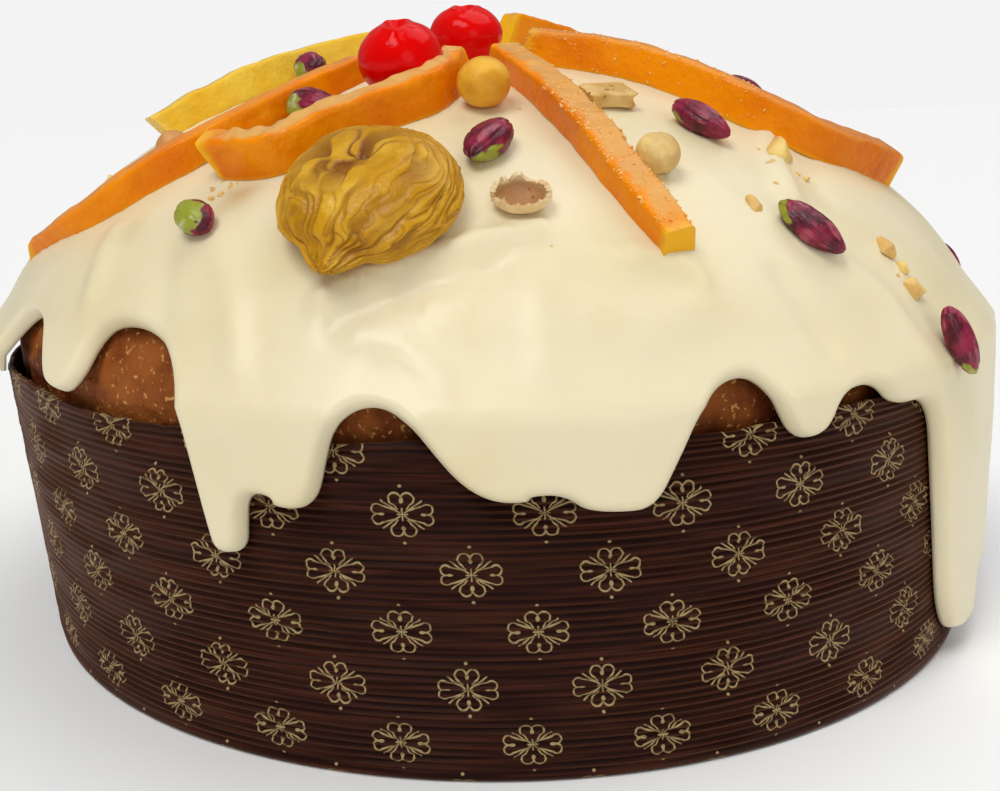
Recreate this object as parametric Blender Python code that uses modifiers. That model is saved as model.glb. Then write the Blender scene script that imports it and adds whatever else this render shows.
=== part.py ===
"""A low glazed panettone in its brown paper case, decorated with candied peel,
cherries, dried figs, pistachios, hazelnuts and hazelnut chips.

The loaf leans a little to -X as it rises, as a hand-set dough does. Its front is
towards -Y. The origin is the middle of the paper case's underside.
"""

import math
import random

import bmesh
import bpy
import numpy as np
from mathutils import Matrix, Vector

MM = 0.001

# Paper case: a 210 mm baking mould, flaring slightly to its rim
CASE_BASE_RADIUS = 0.105
CASE_RIM_RADIUS = 0.1073
CASE_HEIGHT = 0.060
PAPER = 0.0009
RIM_WAVE = 0.0004
CASE_SEGMENTS = 72
DOUGH_SEGMENTS = 48

# Lean of the loaf: the centre line's X at the rim, then per metre above it
RIM_SHIFT = -0.00275
LEAN = -0.045

# Dome of the icing's top, a superellipse that springs just below the paper's edge
SPRING_HEIGHT = 0.058
DOME_RADIUS = 0.109
DOME_RISE = 0.063
DOME_POINT = 1.7
DOME_ROUND = 1.9

# Icing: its thickness on the dome and in the drips, and the length of its rounded lip
ICING = 0.003
DRIP_EXTRA = 0.0009
LIP = 0.0024
LIP_SHARES = (0.0, 0.3, 1.0)
# At the lip's very edge the icing has this share of its full thickness
LIP_LEAST = 0.22
GAP = 0.0003
TOPPING_GAP = 0.0004
PRESS_GAP = 0.0005
DOUGH_GAP = 0.0006
DRIP_GAP = 0.0008
# Outside this radius in mm the icing stands off the dome, to pass the paper's rim
DRIP_SHOULDER = 104.0
DRIP_STAND = 0.0026
# The icing leaves the dome here, to stand clear of the paper's rim, and is out at the
# paper's wall a little lower
TURN_TOP = 0.0715
TURN_FOOT = 0.0636
EDGE_COLUMNS = 190
LEAST_COLUMN = 0.0012
TOP_RING = 0.081
# A drip's corner bends over this many times its level run, and at most over this
# share of its flank. One radian of bend in the edge takes as many columns as this
# many metres of it
FLANK_BEND = 1.3
MOST_BEND = 0.48
BEND_WEIGHT = 0.007

# The icing's lower edge: each tip or valley between drips as its azimuth in degrees
# (-90 is the front), its height in mm, and how far in degrees the corner that rounds
# into the flank lies to either side
DRIP_EDGE = (
    (-156.0, 59.0, 4.0, 3.0), (-144.0, 72.2, 3.0, 2.6),
    (-132.8, 62.6, 1.9, 2.2), (-125.8, 74.0, 4.2, 8.0),
    (-113.6, 39.8, 1.3, 1.5), (-109.7, 50.6, 1.5, 1.2),
    (-106.9, 48.7, 1.6, 2.0), (-99.2, 65.2, 2.9, 2.2),
    (-88.3, 50.4, 3.0, 1.4), (-85.6, 51.4, 1.3, 1.5),
    (-78.4, 48.0, 3.6, 1.9), (-67.8, 66.9, 3.4, 1.6),
    (-61.7, 56.4, 1.6, 1.7), (-55.2, 63.2, 2.6, 1.8),
    (-47.6, 58.2, 3.0, 3.6), (-31.2, 4.9, 6.4, 3.0),
    (-26.4, 15.0, 1.6, 1.6), (-20.5, 12.0, 2.2, 2.4),
    (-9.0, 57.0, 5.0, 3.0), (1.0, 40.0, 3.0, 2.0),
    (9.0, 60.0, 3.0, 3.0), (19.0, 47.0, 3.5, 2.5),
    (29.0, 65.0, 3.0, 3.4), (41.0, 26.0, 2.0, 1.8),
    (47.0, 43.0, 1.8, 1.8), (53.0, 38.0, 2.2, 2.8),
    (64.0, 66.0, 4.0, 3.5), (75.0, 53.0, 3.0, 2.5),
    (84.0, 61.0, 2.5, 2.5), (95.0, 30.0, 2.4, 2.2),
    (105.0, 58.0, 3.4, 3.0), (116.0, 46.0, 3.0, 3.0),
    (127.0, 68.0, 3.0, 3.0), (139.0, 36.0, 2.4, 2.2),
    (150.0, 59.0, 3.6, 3.0), (161.0, 44.0, 3.0, 3.0),
    (172.0, 69.0, 3.0, 4.0), (184.0, 60.0, 4.0, 3.0),
    (192.0, 63.5, 3.0, 3.0),
)

# Candied peel strips: name, height and width of the section in mm, how far the strip
# tips over in degrees, its colour, and its way over the icing as (azimuth, radius in mm)
PEELS = (
    ("peel_yellow_left", 6.6, 4.8, 4.0, "yellow",
     ((-168, 21), (-166, 36), (-159.5, 54.5), (-155.5, 70))),
    ("peel_orange_left", 5.6, 4.6, 6.0, "orange",
     ((-121, 41), (-125, 57), (-132.2, 75), (-142.2, 90.5), (-153.5, 98.5))),
    ("peel_orange_front_left", 7.6, 5.2, 8.0, "orange",
     ((-92.5, 44), (-97.2, 57), (-109.2, 69.2), (-117, 77.4), (-125, 78.5))),
    ("peel_orange_front_right", 6.0, 7.0, 8.0, "orange",
     ((-79, 36), (-75.5, 56), (-73.6, 72), (-72.2, 84), (-70.3, 95))),
    ("peel_orange_right", 7.2, 5.2, -6.0, "orange",
     ((-70, 30.3), (-49, 38.4), (-40.5, 50), (-38.8, 66), (-34.5, 77.5),
      (-26, 84), (-20.5, 87.5))),
    ("peel_orange_back_right", 9.0, 5.4, 5.0, "orange",
     ((45, 9), (47, 34), (43, 58), (38, 80))),
    ("peel_yellow_back_left", 7.4, 5.2, -5.0, "yellow",
     ((122, 20), (126, 42), (130, 64), (136, 84))),
)

# Pistachios: azimuth, radius in mm, heading of the long axis in degrees from the
# downhill direction, and length, width and height in mm
PISTACHIOS = (
    (-150, 39.5, 78, 11.8, 7.6, 7.4),
    (-117.7, 62.5, 74, 13.0, 8.4, 8.0),
    (-121.6, 90.4, 62, 10.0, 7.4, 6.6),
    (-88.3, 73.0, -30, 13.0, 8.0, 6.6),
    (-53.8, 69.0, 12, 13.4, 8.0, 6.4),
    (-54.0, 94.3, 28, 14.2, 7.8, 6.2),
    (-41.5, 107.7, 14, 13.6, 7.4, 5.4),
    (-8, 58.5, 40, 13.0, 7.8, 6.6),
    (3, 107.0, 20, 13.0, 7.6, 5.4),
    (20, 66, 50, 13.4, 8.0, 6.6),
    (84, 52, 15, 13.0, 7.6, 6.8),
    (109, 80, 70, 13.6, 7.8, 6.4),
    (160, 70, -40, 13.2, 7.8, 6.4),
)

# Whole hazelnuts, some of them small or half sunk: azimuth, radius and diameter in mm
HAZELNUTS = (
    (-87.8, 56.6, 10.2),
    (-67.2, 79.0, 8.0),
    (-138.5, 75.0, 6.6),
    (70, 74, 11.4),
    (145, 52, 11.2),
)

# Candied cherries: name, azimuth, radius, width and height in mm
CHERRIES = (
    ("cherry_left", -104.5, 49.5, 16.6, 15.8),
    ("cherry_top", -92.0, 28.0, 15.6, 13.0),
    ("cherry_back", 100.0, 30.0, 16.4, 13.2),
)

# Dried figs: name, azimuth, radius, width across and down the slope, height in mm,
# and the direction of the open eye on top as an azimuth on the fig
FIGS = (
    ("fig_front", -100.8, 87.2, 30.5, 31.0, 11.8, 150.0),
    ("fig_back", 96.0, 68.0, 32.0, 31.0, 14.0, 60.0),
)

# Hazelnut chips set in the icing: azimuth, radius and longest side in mm
CHIPS = (
    (-68.6, 38.5, 4.2), (-44.5, 78.0, 6.2), (-47.8, 80.0, 3.0), (-50.8, 85.2, 2.8),
    (-57.4, 88.4, 3.6), (-41.2, 97.6, 4.0), (-40.7, 100.6, 2.6), (-41.4, 103.0, 3.8),
    (-36.6, 106.4, 2.8), (18, 48, 4.6), (33, 96, 3.6), (68, 90, 4.4), (88, 96, 3.4),
    (118, 60, 4.6), (150, 88, 4.0), (176, 88, 4.4), (-3, 76, 4.0),
)

# Soft or leaning toppings that are pressed to the shape of what they lie against
LEANINGS = (
    ("cherry_left", ("peel_orange_front_left", "peel_orange_left")),
    ("cherry_top", ("peel_orange_front_left", "peel_orange_front_right")),
)


def clear_scene():
    """Removes whatever the scene holds, then makes the collections for the parts and
    for the helpers that Booleans use."""
    for old in list(bpy.data.objects):
        bpy.data.objects.remove(old)
    scene = bpy.context.scene
    scene.unit_settings.system = "METRIC"
    scene.unit_settings.scale_length = 1.0
    made = []
    for name in ("panettone", "helpers"):
        collection = bpy.data.collections.new(name)
        scene.collection.children.link(collection)
        made.append(collection)
    return made


PANETTONE, HELPERS = clear_scene()


def material(name, colour, roughness, metallic=0.0):
    """A Principled material with the finish seen on the real thing."""
    made = bpy.data.materials.new(name)
    made.use_nodes = True
    shader = made.node_tree.nodes["Principled BSDF"]
    shader.inputs["Base Color"].default_value = (*colour, 1.0)
    shader.inputs["Roughness"].default_value = roughness
    shader.inputs["Metallic"].default_value = metallic
    made.diffuse_color = (*colour, 1.0)
    return made


MATERIALS = {
    "paper": material("brown_paper", (0.050, 0.014, 0.012), 0.6),
    "crust": material("baked_crust", (0.22, 0.065, 0.018), 0.75),
    "icing": material("white_chocolate_icing", (0.89, 0.83, 0.62), 0.35),
    "orange": material("candied_orange_peel", (0.72, 0.21, 0.010), 0.3),
    "yellow": material("candied_lemon_peel", (0.78, 0.46, 0.06), 0.3),
    "cherry": material("candied_cherry", (0.70, 0.010, 0.010), 0.15),
    "fig": material("dried_fig", (0.55, 0.32, 0.09), 0.5),
    "pistachio": material("pistachio_skin", (0.20, 0.015, 0.035), 0.45),
    "hazelnut": material("roasted_hazelnut", (0.66, 0.38, 0.12), 0.5),
}


def new_object(name, mesh, finish, collection=PANETTONE):
    """Puts a mesh in the scene as a smooth-shaded object with one material."""
    mesh.materials.append(MATERIALS[finish])
    mesh.shade_smooth()
    made = bpy.data.objects.new(name, mesh)
    collection.objects.link(made)
    return made


def mesh_of(bm, name):
    """Turns a bmesh into a mesh whose faces point out, and frees it."""
    bmesh.ops.recalc_face_normals(bm, faces=bm.faces)
    mesh = bpy.data.meshes.new(name)
    bm.to_mesh(mesh)
    bm.free()
    return mesh


def centre_x(height):
    """X of the leaning loaf's centre line at a height."""
    if height <= CASE_HEIGHT:
        return RIM_SHIFT * height / CASE_HEIGHT
    return RIM_SHIFT + LEAN * (height - CASE_HEIGHT)


def lean(bm):
    """Shears an upright turned shape onto the leaning centre line."""
    for vert in bm.verts:
        vert.co.x += centre_x(vert.co.z)


def case_radius(height):
    """Outer radius of the paper at a height."""
    share = height / CASE_HEIGHT
    return CASE_BASE_RADIUS + (CASE_RIM_RADIUS - CASE_BASE_RADIUS) * share


def dome_height(radius, skin=0.0):
    """Height of the dome at a radius, on the layer that lies skin below its top."""
    share = min(radius / (DOME_RADIUS - skin), 1.0)
    rise = (1 - share**DOME_POINT) ** (1 / DOME_ROUND)
    return SPRING_HEIGHT + (DOME_RISE - skin) * rise


def dome_radius(height, skin=0.0):
    """Radius of the dome at a height, on the layer that lies skin below its top."""
    share = max(height - SPRING_HEIGHT, 0.0) / (DOME_RISE - skin)
    return (DOME_RADIUS - skin) * (1 - share**DOME_ROUND) ** (1 / DOME_POINT)


def spun(name, profile, segments, finish):
    """Spins (radius, height) points, from axis to axis, into a leaning solid."""
    bm = bmesh.new()
    verts = [bm.verts.new((radius, 0.0, height)) for radius, height in profile]
    edges = [bm.edges.new(pair) for pair in zip(verts, verts[1:])]
    bmesh.ops.spin(bm, geom=verts + edges, axis=(0, 0, 1), cent=(0, 0, 0),
                   angle=math.tau, steps=segments, use_duplicate=False)
    bmesh.ops.remove_doubles(bm, verts=bm.verts, dist=1e-6)
    lean(bm)
    return new_object(name, mesh_of(bm, name), finish)


def paper_case():
    """The baking mould: a thin cup with a slightly wavy rim."""
    fold = 0.0008
    profile = [(0.0, 0.0), (CASE_BASE_RADIUS - fold, 0.0), (case_radius(fold), fold)]
    profile += [(CASE_RIM_RADIUS, CASE_HEIGHT), (CASE_RIM_RADIUS - PAPER, CASE_HEIGHT)]
    profile += [(CASE_BASE_RADIUS - PAPER, PAPER), (0.0, PAPER)]
    case = spun("paper_case", profile, CASE_SEGMENTS, "paper")
    for vert in case.data.vertices:
        if vert.co.z > CASE_HEIGHT - 0.001:
            turn = math.atan2(vert.co.y, vert.co.x)
            vert.co.z += RIM_WAVE * (math.sin(7 * turn) + math.sin(12 * turn + 1.0)) - RIM_WAVE
    return case


def dough():
    """The baked loaf, which fills the case and domes under the icing."""
    skin = ICING + DOUGH_GAP
    clear = PAPER + GAP
    profile = [(0.0, PAPER + GAP), (CASE_BASE_RADIUS - clear - 0.001, PAPER + GAP)]
    profile += [(case_radius(h) - clear, h) for h in (0.004, 0.026, 0.046)]
    profile += [(case_radius(0.055) - clear - 0.0012, 0.055)]
    shoulder = [dome_radius(h, skin) for h in (0.0615, 0.067)]
    profile += [(shoulder[0] - 0.0008, 0.0615), (shoulder[1], 0.067)]
    turns = np.radians((26, 37, 48, 59, 70, 80))
    for turn in turns:
        height = SPRING_HEIGHT + (DOME_RISE - skin) * math.sin(turn)
        profile.append((dome_radius(height, skin), height))
    profile.append((0.0, dome_height(0.0, skin)))
    return spun("dough", profile, DOUGH_SEGMENTS, "crust")


class IcingSheet:
    """The icing's inner face, unrolled: down the dome, over the paper's edge and
    down its wall. A place on it is an azimuth and a way from the pole."""

    def __init__(self):
        turns = np.linspace(0, math.pi / 2, 200)[:-1]
        points = [(0.0, dome_height(0.0, ICING))]
        for turn in turns[::-1]:
            height = SPRING_HEIGHT + (DOME_RISE - ICING) * math.sin(turn)
            if height > TURN_TOP:
                points.append((dome_radius(height, ICING), height))
        for height in np.linspace(TURN_FOOT, 0.002, 24):
            wall = case_radius(min(height, CASE_HEIGHT)) + DRIP_GAP
            points.append((wall, height))
        self.points = np.array(points)
        steps = np.linalg.norm(np.diff(self.points, axis=0), axis=1)
        self.ways = np.concatenate([[0.0], np.cumsum(steps)])

    def way(self, height):
        """The way from the pole to a height."""
        return float(np.interp(-height, -self.points[:, 1], self.ways))

    def place(self, azimuth, way):
        """The point of the sheet at an azimuth in radians and a way."""
        radius = float(np.interp(way, self.ways, self.points[:, 0]))
        height = float(np.interp(way, self.ways, self.points[:, 1]))
        x = centre_x(height) + radius * math.cos(azimuth)
        return Vector((x, radius * math.sin(azimuth), height))


def rounded_corner(start, corner, end):
    """Points of a smooth bend from start towards corner and on to end, without end."""
    for t in np.arange(0, 1, 1 / 16):
        yield (1 - t) ** 2 * start + 2 * t * (1 - t) * corner + t * t * end


def drip_flank(tip, first_corner, last_corner, valley):
    """One side of a drip: level, round a corner, straight, round a corner, level."""
    flank = last_corner - first_corner
    length = np.linalg.norm(flank)
    bends = [min(FLANK_BEND * np.linalg.norm(run) / length, MOST_BEND)
             for run in (first_corner - tip, last_corner - valley)]
    leave = first_corner + flank * bends[0]
    meet = last_corner - flank * bends[1]
    yield from rounded_corner(tip, first_corner, leave)
    yield from (leave + (meet - leave) * t for t in np.arange(0, 1, 1 / 12))
    yield from rounded_corner(meet, last_corner, valley)


def drip_outline(sheet, columns):
    """The icing's edge as (azimuth in metres along the rim, way) points, closer
    together where it curves."""
    dense = []
    ends = [*DRIP_EDGE, (DRIP_EDGE[0][0] + 360.0, *DRIP_EDGE[0][1:])]
    for (az_a, z_a, _, out_a), (az_b, z_b, in_b, _) in zip(ends, ends[1:]):
        corners = np.array([(az_a, z_a), (az_a + out_a, z_a), (az_b - in_b, z_b), (az_b, z_b)])
        corners[:, 0] = np.radians(corners[:, 0]) * CASE_RIM_RADIUS
        corners[:, 1] *= MM
        dense.extend(drip_flank(*corners))
    line = np.array([(around, sheet.way(height)) for around, height in dense])
    whole_turn = np.array([math.tau * CASE_RIM_RADIUS, 0.0])
    ring = np.vstack([line[-1] - whole_turn, line, line[0] + whole_turn])
    steps = np.diff(ring, axis=0)
    lengths = np.linalg.norm(steps, axis=1)
    heading = np.unwrap(np.arctan2(steps[:, 1], steps[:, 0]))
    bend = np.abs(np.diff(heading))
    demand = np.concatenate([[0.0], np.cumsum(lengths[1:] + BEND_WEIGHT * bend)])
    wanted = np.linspace(0, demand[-1], columns, endpoint=False)
    closed = np.vstack([line, line[0] + whole_turn])
    return np.column_stack([np.interp(wanted, demand, closed[:, i]) for i in (0, 1)])


def inset(line, distance):
    """A closed unrolled outline moved up, into the icing, by a distance."""
    whole_turn = np.array([math.tau * CASE_RIM_RADIUS, 0.0])
    before = np.vstack([line[-1] - whole_turn, line[:-1]])
    after = np.vstack([line[1:], line[0] + whole_turn])
    along = after - before
    along /= np.linalg.norm(along, axis=1)[:, None]
    return line + distance * np.column_stack([along[:, 1], -along[:, 0]])


def smoothed(values, period, passes):
    """Values round a closed ring, averaged with their neighbours. They grow by
    period in a turn."""
    for _ in range(passes):
        before = np.concatenate([[values[-1] - period], values[:-1]])
        after = np.concatenate([values[1:], [values[0] + period]])
        values = (before + 2 * values + after) / 4
    return values


def icing_thickness(height, edge_way):
    """Thickness of the icing at a height, edge_way in from its lip."""
    sag = min(max((0.072 - height) / 0.025, 0.0), 1.0)
    full = ICING + DRIP_EXTRA * sag
    share = min(edge_way / LIP, 1.0)
    return full * max(math.sqrt(1 - (1 - share) ** 2), LIP_LEAST)


def stitch(bm, lower, upper):
    """Joins two rings of (azimuth, vertex) with unlike counts by triangles."""
    low, up = sorted(lower, key=lambda p: p[0]), sorted(upper, key=lambda p: p[0])
    low.append((low[0][0] + math.tau, low[0][1]))
    up.append((up[0][0] + math.tau, up[0][1]))
    i = j = 0
    while i < len(low) - 1 or j < len(up) - 1:
        low_next = low[i + 1][0] if i < len(low) - 1 else math.inf
        up_next = up[j + 1][0] if j < len(up) - 1 else math.inf
        if low_next <= up_next:
            bm.faces.new((low[i][1], low[i + 1][1], up[j][1]))
            i += 1
        else:
            bm.faces.new((low[i][1], up[j + 1][1], up[j][1]))
            j += 1


def in_order(azimuths):
    """Azimuths that never turn back, so that columns above them don't cross."""
    ordered = [azimuths[0]]
    for azimuth in azimuths[1:]:
        ordered.append(max(azimuth, ordered[-1] + LEAST_COLUMN))
    return np.array(ordered)


def icing_rings(sheet):
    """Rings of (azimuths, ways, distance from the lip), from the drips' edge up to
    a level ring on the dome. All have the same count, so they join in columns."""
    outline = drip_outline(sheet, EDGE_COLUMNS)
    rings = []
    for share in LIP_SHARES:
        line = inset(outline, share * LIP)
        rings.append((line[:, 0] / CASE_RIM_RADIUS, line[:, 1], share * LIP))
    low_az = in_order(rings[-1][0])
    low_way = rings[-1][1]
    rings[-1] = (low_az, low_way, LIP)
    even_az = smoothed(low_az, math.tau, 60)
    top_way = np.full(EDGE_COLUMNS, sheet.way(TOP_RING))
    bend = np.minimum(sheet.way(TURN_FOOT), low_way - 0.0016)
    rings.append((low_az, bend, LIP))
    rings.append(((low_az + even_az) / 2, (bend + top_way) / 2, LIP))
    rings.append((even_az, top_way, LIP))
    return rings


def icing_mesh():
    """The icing's inner face with the thickness of the icing as a vertex weight."""
    sheet = IcingSheet()
    bm = bmesh.new()
    weight = bm.verts.layers.float.new("thickness")

    def add(azimuth, way, lip_way):
        vert = bm.verts.new(sheet.place(azimuth, way))
        vert[weight] = icing_thickness(vert.co.z, lip_way)
        return vert

    rings = [[(a, add(a, w, lip_way)) for a, w in zip(azimuths, ways)]
             for azimuths, ways, lip_way in icing_rings(sheet)]
    for low, up in zip(rings, rings[1:]):
        for k in range(EDGE_COLUMNS):
            m = (k + 1) % EDGE_COLUMNS
            bm.faces.new((low[k][1], low[m][1], up[m][1], up[k][1]))
    below = rings[-1]
    for radius, count in ((0.090, 60), (0.074, 48), (0.056, 36), (0.037, 24), (0.018, 12)):
        way = sheet.way(dome_height(radius, ICING))
        azimuths = [below[0][0] + math.tau * k / count for k in range(count)]
        ring = [(a, add(a, way, LIP)) for a in azimuths]
        stitch(bm, below, ring)
        below = ring
    pole = add(0.0, 0.0, LIP)
    for (_, a), (_, b) in zip(below, below[1:] + below[:1]):
        bm.faces.new((a, b, pole))
    return bm


def icing():
    """The poured icing: a skin over the dome, thicker in its drips, with a
    rounded lip, and with the small nut chips fused into it."""
    bm = icing_mesh()
    layer = bm.verts.layers.float["thickness"]
    thickest = ICING + DRIP_EXTRA
    weights = [vert[layer] / thickest for vert in bm.verts]
    made = new_object("icing", mesh_of(bm, "icing"), "icing")
    group = made.vertex_groups.new(name="thickness")
    for index, value in enumerate(weights):
        group.add([index], value, "REPLACE")
    solid = made.modifiers.new("skin", "SOLIDIFY")
    solid.thickness = thickest
    solid.offset = 1.0
    solid.vertex_group = group.name
    solid.thickness_vertex_group = 0.0
    join = made.modifiers.new("chips", "BOOLEAN")
    join.operation = "UNION"
    join.operand_type = "COLLECTION"
    join.collection = HELPERS
    graph = bpy.context.evaluated_depsgraph_get()
    joined = bpy.data.meshes.new_from_object(made.evaluated_get(graph))
    made.modifiers.clear()
    made.vertex_groups.clear()
    made.data = joined
    for chip in list(HELPERS.objects):
        bpy.data.objects.remove(chip)
    return made


def above_icing(point):
    """Signed distance of a point from the icing's top, and the way out of it."""
    def level(p):
        radius = math.hypot(p.x - centre_x(p.z), p.y)
        rise = max(p.z - SPRING_HEIGHT, 0.0) / DOME_RISE
        return rise**DOME_ROUND + (radius / DOME_RADIUS) ** DOME_POINT - 1
    step = 1e-5
    here = level(point)
    slope = Vector([(level(point + step * axis) - here) / step
                    for axis in (Vector((1, 0, 0)), Vector((0, 1, 0)), Vector((0, 0, 1)))])
    return here / slope.length, slope.normalized()


def seat(azimuth, radius_mm, heading=0.0):
    """The frame of a topping on the icing: Z out of it, X downhill, then turned
    by the heading in degrees about Z."""
    turn = math.radians(azimuth)
    radius = radius_mm * MM
    height = dome_height(radius)
    point = Vector((centre_x(height) + radius * math.cos(turn), radius * math.sin(turn), height))
    _, up = above_icing(point)
    across = up.cross(Vector((math.cos(turn), math.sin(turn), 0.0))).normalized()
    down = across.cross(up)
    frame = Matrix((down, across, up)).transposed().to_4x4()
    frame.translation = point
    return frame @ Matrix.Rotation(math.radians(heading), 4, "Z")


def lift_clear(made, gap=GAP):
    """Raises the points of a topping that would be in the icing onto it."""
    up = made.matrix_world.to_3x3().col[2].normalized()
    inverse = made.matrix_world.inverted()
    for vert in made.data.vertices:
        point = made.matrix_world @ vert.co
        for _ in range(6):
            clear, out = above_icing(point)
            if clear >= gap:
                break
            point = point + up * ((gap - clear) / max(up.dot(out), 0.3) + 1e-6)
        vert.co = inverse @ point


def placed(name, bm, finish, frame, gap=TOPPING_GAP):
    """Makes a topping's object at its seat and clears it off the icing."""
    made = new_object(name, mesh_of(bm, name), finish)
    made.matrix_world = frame
    bpy.context.view_layer.update()
    lift_clear(made, gap)
    return made


def ball(segments, rings, size):
    """A bmesh ball of the given X, Y and Z size in mm, centred on the origin."""
    bm = bmesh.new()
    bmesh.ops.create_uvsphere(bm, u_segments=segments, v_segments=rings, radius=0.5)
    bmesh.ops.scale(bm, vec=Vector(size) * MM, verts=bm.verts)
    return bm


def move(bm, x=0.0, y=0.0, z=0.0):
    """Moves a bmesh by millimetres."""
    bmesh.ops.translate(bm, vec=Vector((x, y, z)) * MM, verts=bm.verts)


def cherry(name, azimuth, radius, width, height):
    """A candied cherry: soft sides, and a ring round the hole of its stone."""
    bm = ball(14, 9, (width, width * 0.96, height))
    hole = 0.16 * width * MM
    for vert in bm.verts:
        away = math.hypot(vert.co.x, vert.co.y)
        turn = math.atan2(vert.co.y, vert.co.x)
        if vert.co.z > 0:
            vert.co.z -= 0.20 * height * MM * math.exp(-((away / hole) ** 2))
        swell = 1 + 0.03 * math.sin(3 * turn + azimuth)
        vert.co.x *= swell
        vert.co.y *= swell
    move(bm, z=height * 0.47)
    return placed(name, bm, "cherry", seat(azimuth, radius, 20.0))


def fig(name, azimuth, radius, across, down, height, eye_turn):
    """A dried fig, pressed flat, with pleats that run out from its open eye."""
    bm = ball(24, 11, (down, across, height * 1.25))
    half = height * 0.625 * MM
    eye_x = 0.20 * down * MM * math.cos(math.radians(eye_turn))
    eye_y = 0.20 * across * MM * math.sin(math.radians(eye_turn))
    for vert in bm.verts:
        up = vert.co.z / half
        away = math.hypot(vert.co.x - eye_x, vert.co.y - eye_y)
        turn = math.atan2(vert.co.y - eye_y, vert.co.x - eye_x)
        pleat = 0.045 * math.sin(9 * turn + 1.3 * math.sin(2 * turn))
        edge = 1 - 0.6 * abs(up)
        squash = 1 + pleat * edge
        vert.co.x *= squash
        vert.co.y *= squash
        if up > 0:
            vert.co.z *= 1 + 0.5 * pleat
            vert.co.z -= 0.22 * half * math.exp(-((away / (4.5 * MM)) ** 2))
    move(bm, z=height * 0.38)
    return placed(name, bm, "fig", seat(azimuth, radius))


def pistachio(name, azimuth, radius, heading, length, width, height):
    """A pistachio kernel: a long ball, pointed at one end and ridged on top."""
    bm = ball(10, 7, (width, height, length))
    bmesh.ops.rotate(bm, verts=bm.verts, matrix=Matrix.Rotation(math.pi / 2, 3, "Y"))
    bmesh.ops.rotate(bm, verts=bm.verts, matrix=Matrix.Rotation(math.pi / 2, 3, "X"))
    for vert in bm.verts:
        along = vert.co.x / (length * MM / 2)
        taper = 1 - 0.22 * max(along, 0.0) ** 2
        vert.co.y *= taper
        vert.co.z *= taper
        vert.co.y += 0.06 * width * MM * (1 - along * along)
    move(bm, z=height * 0.42)
    stand = DRIP_STAND if radius > DRIP_SHOULDER else 0.0
    frame = seat(azimuth, radius, heading) @ Matrix.Translation((0.0, 0.0, stand))
    return placed(name, bm, "pistachio", frame, 2 * GAP + stand)


def hazelnut(name, azimuth, radius, size):
    """A skinned hazelnut: a ball with a blunt point."""
    bm = ball(12, 8, (size, size * 0.97, size))
    for vert in bm.verts:
        share = vert.co.z / (size * MM / 2)
        if share > 0:
            vert.co.z *= 1 + 0.07 * share**4
    tip = Matrix.Rotation(math.radians(35), 3, "X") @ Matrix.Rotation(math.radians(30), 3, "Y")
    bmesh.ops.rotate(bm, verts=bm.verts, matrix=tip)
    move(bm, z=size * 0.43)
    return placed(name, bm, "hazelnut", seat(azimuth, radius))


def hollow_shard():
    """Half of a split hazelnut, lying with its hollow up and to the front."""
    width, length, height = 8.0, 10.4, 7.6
    rim_height, rim_wave, hollow_depth = 1.2 * MM, 0.6 * MM, 2.6 * MM
    hollow_share = 0.72
    bm = ball(14, 10, (width, length, height))
    for vert in bm.verts:
        if vert.co.z <= 0.2 * MM:
            continue
        share = math.hypot(vert.co.x / width, vert.co.y / length) * 2 / MM
        if share > hollow_share:
            turn = math.atan2(vert.co.y, vert.co.x)
            vert.co.z = rim_height + rim_wave * math.sin(4 * turn)
        else:
            fall = math.cos(math.pi / 2 * share / hollow_share)
            vert.co.z = rim_height - hollow_depth * fall
    move(bm, z=3.0)
    return placed("hazelnut_shell_half", bm, "hazelnut", seat(-85.1, 86.0, 12.0))


def flat_shard():
    """A flat broken piece of hazelnut."""
    bm = bmesh.new()
    bmesh.ops.create_cube(bm, size=1.0)
    bmesh.ops.bevel(bm, geom=bm.edges[:], offset=0.12, segments=1, affect="EDGES")
    bmesh.ops.scale(bm, vec=Vector((4.4, 9.6, 3.4)) * MM, verts=bm.verts)
    for vert in bm.verts:
        vert.co.x += 0.25 * vert.co.z
        vert.co.z *= 1 - 0.03 * vert.co.y / MM
    move(bm, z=1.7)
    return placed("hazelnut_flat_piece", bm, "hazelnut", seat(-64.0, 56.5, 20.0))


def along_path(points, count):
    """Stations on a smooth Catmull-Rom curve through points."""
    points = [2 * points[0] - points[1], *points, 2 * points[-1] - points[-2]]
    spans = len(points) - 3
    for k in range(count):
        place = k / (count - 1) * spans
        i = min(int(place), spans - 1)
        t = place - i
        a, b, c, d = points[i:i + 4]
        yield 0.5 * (2 * b + (c - a) * t + (2 * a - 5 * b + 4 * c - d) * t * t
                     + (3 * b - a - 3 * c + d) * t**3)


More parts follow.
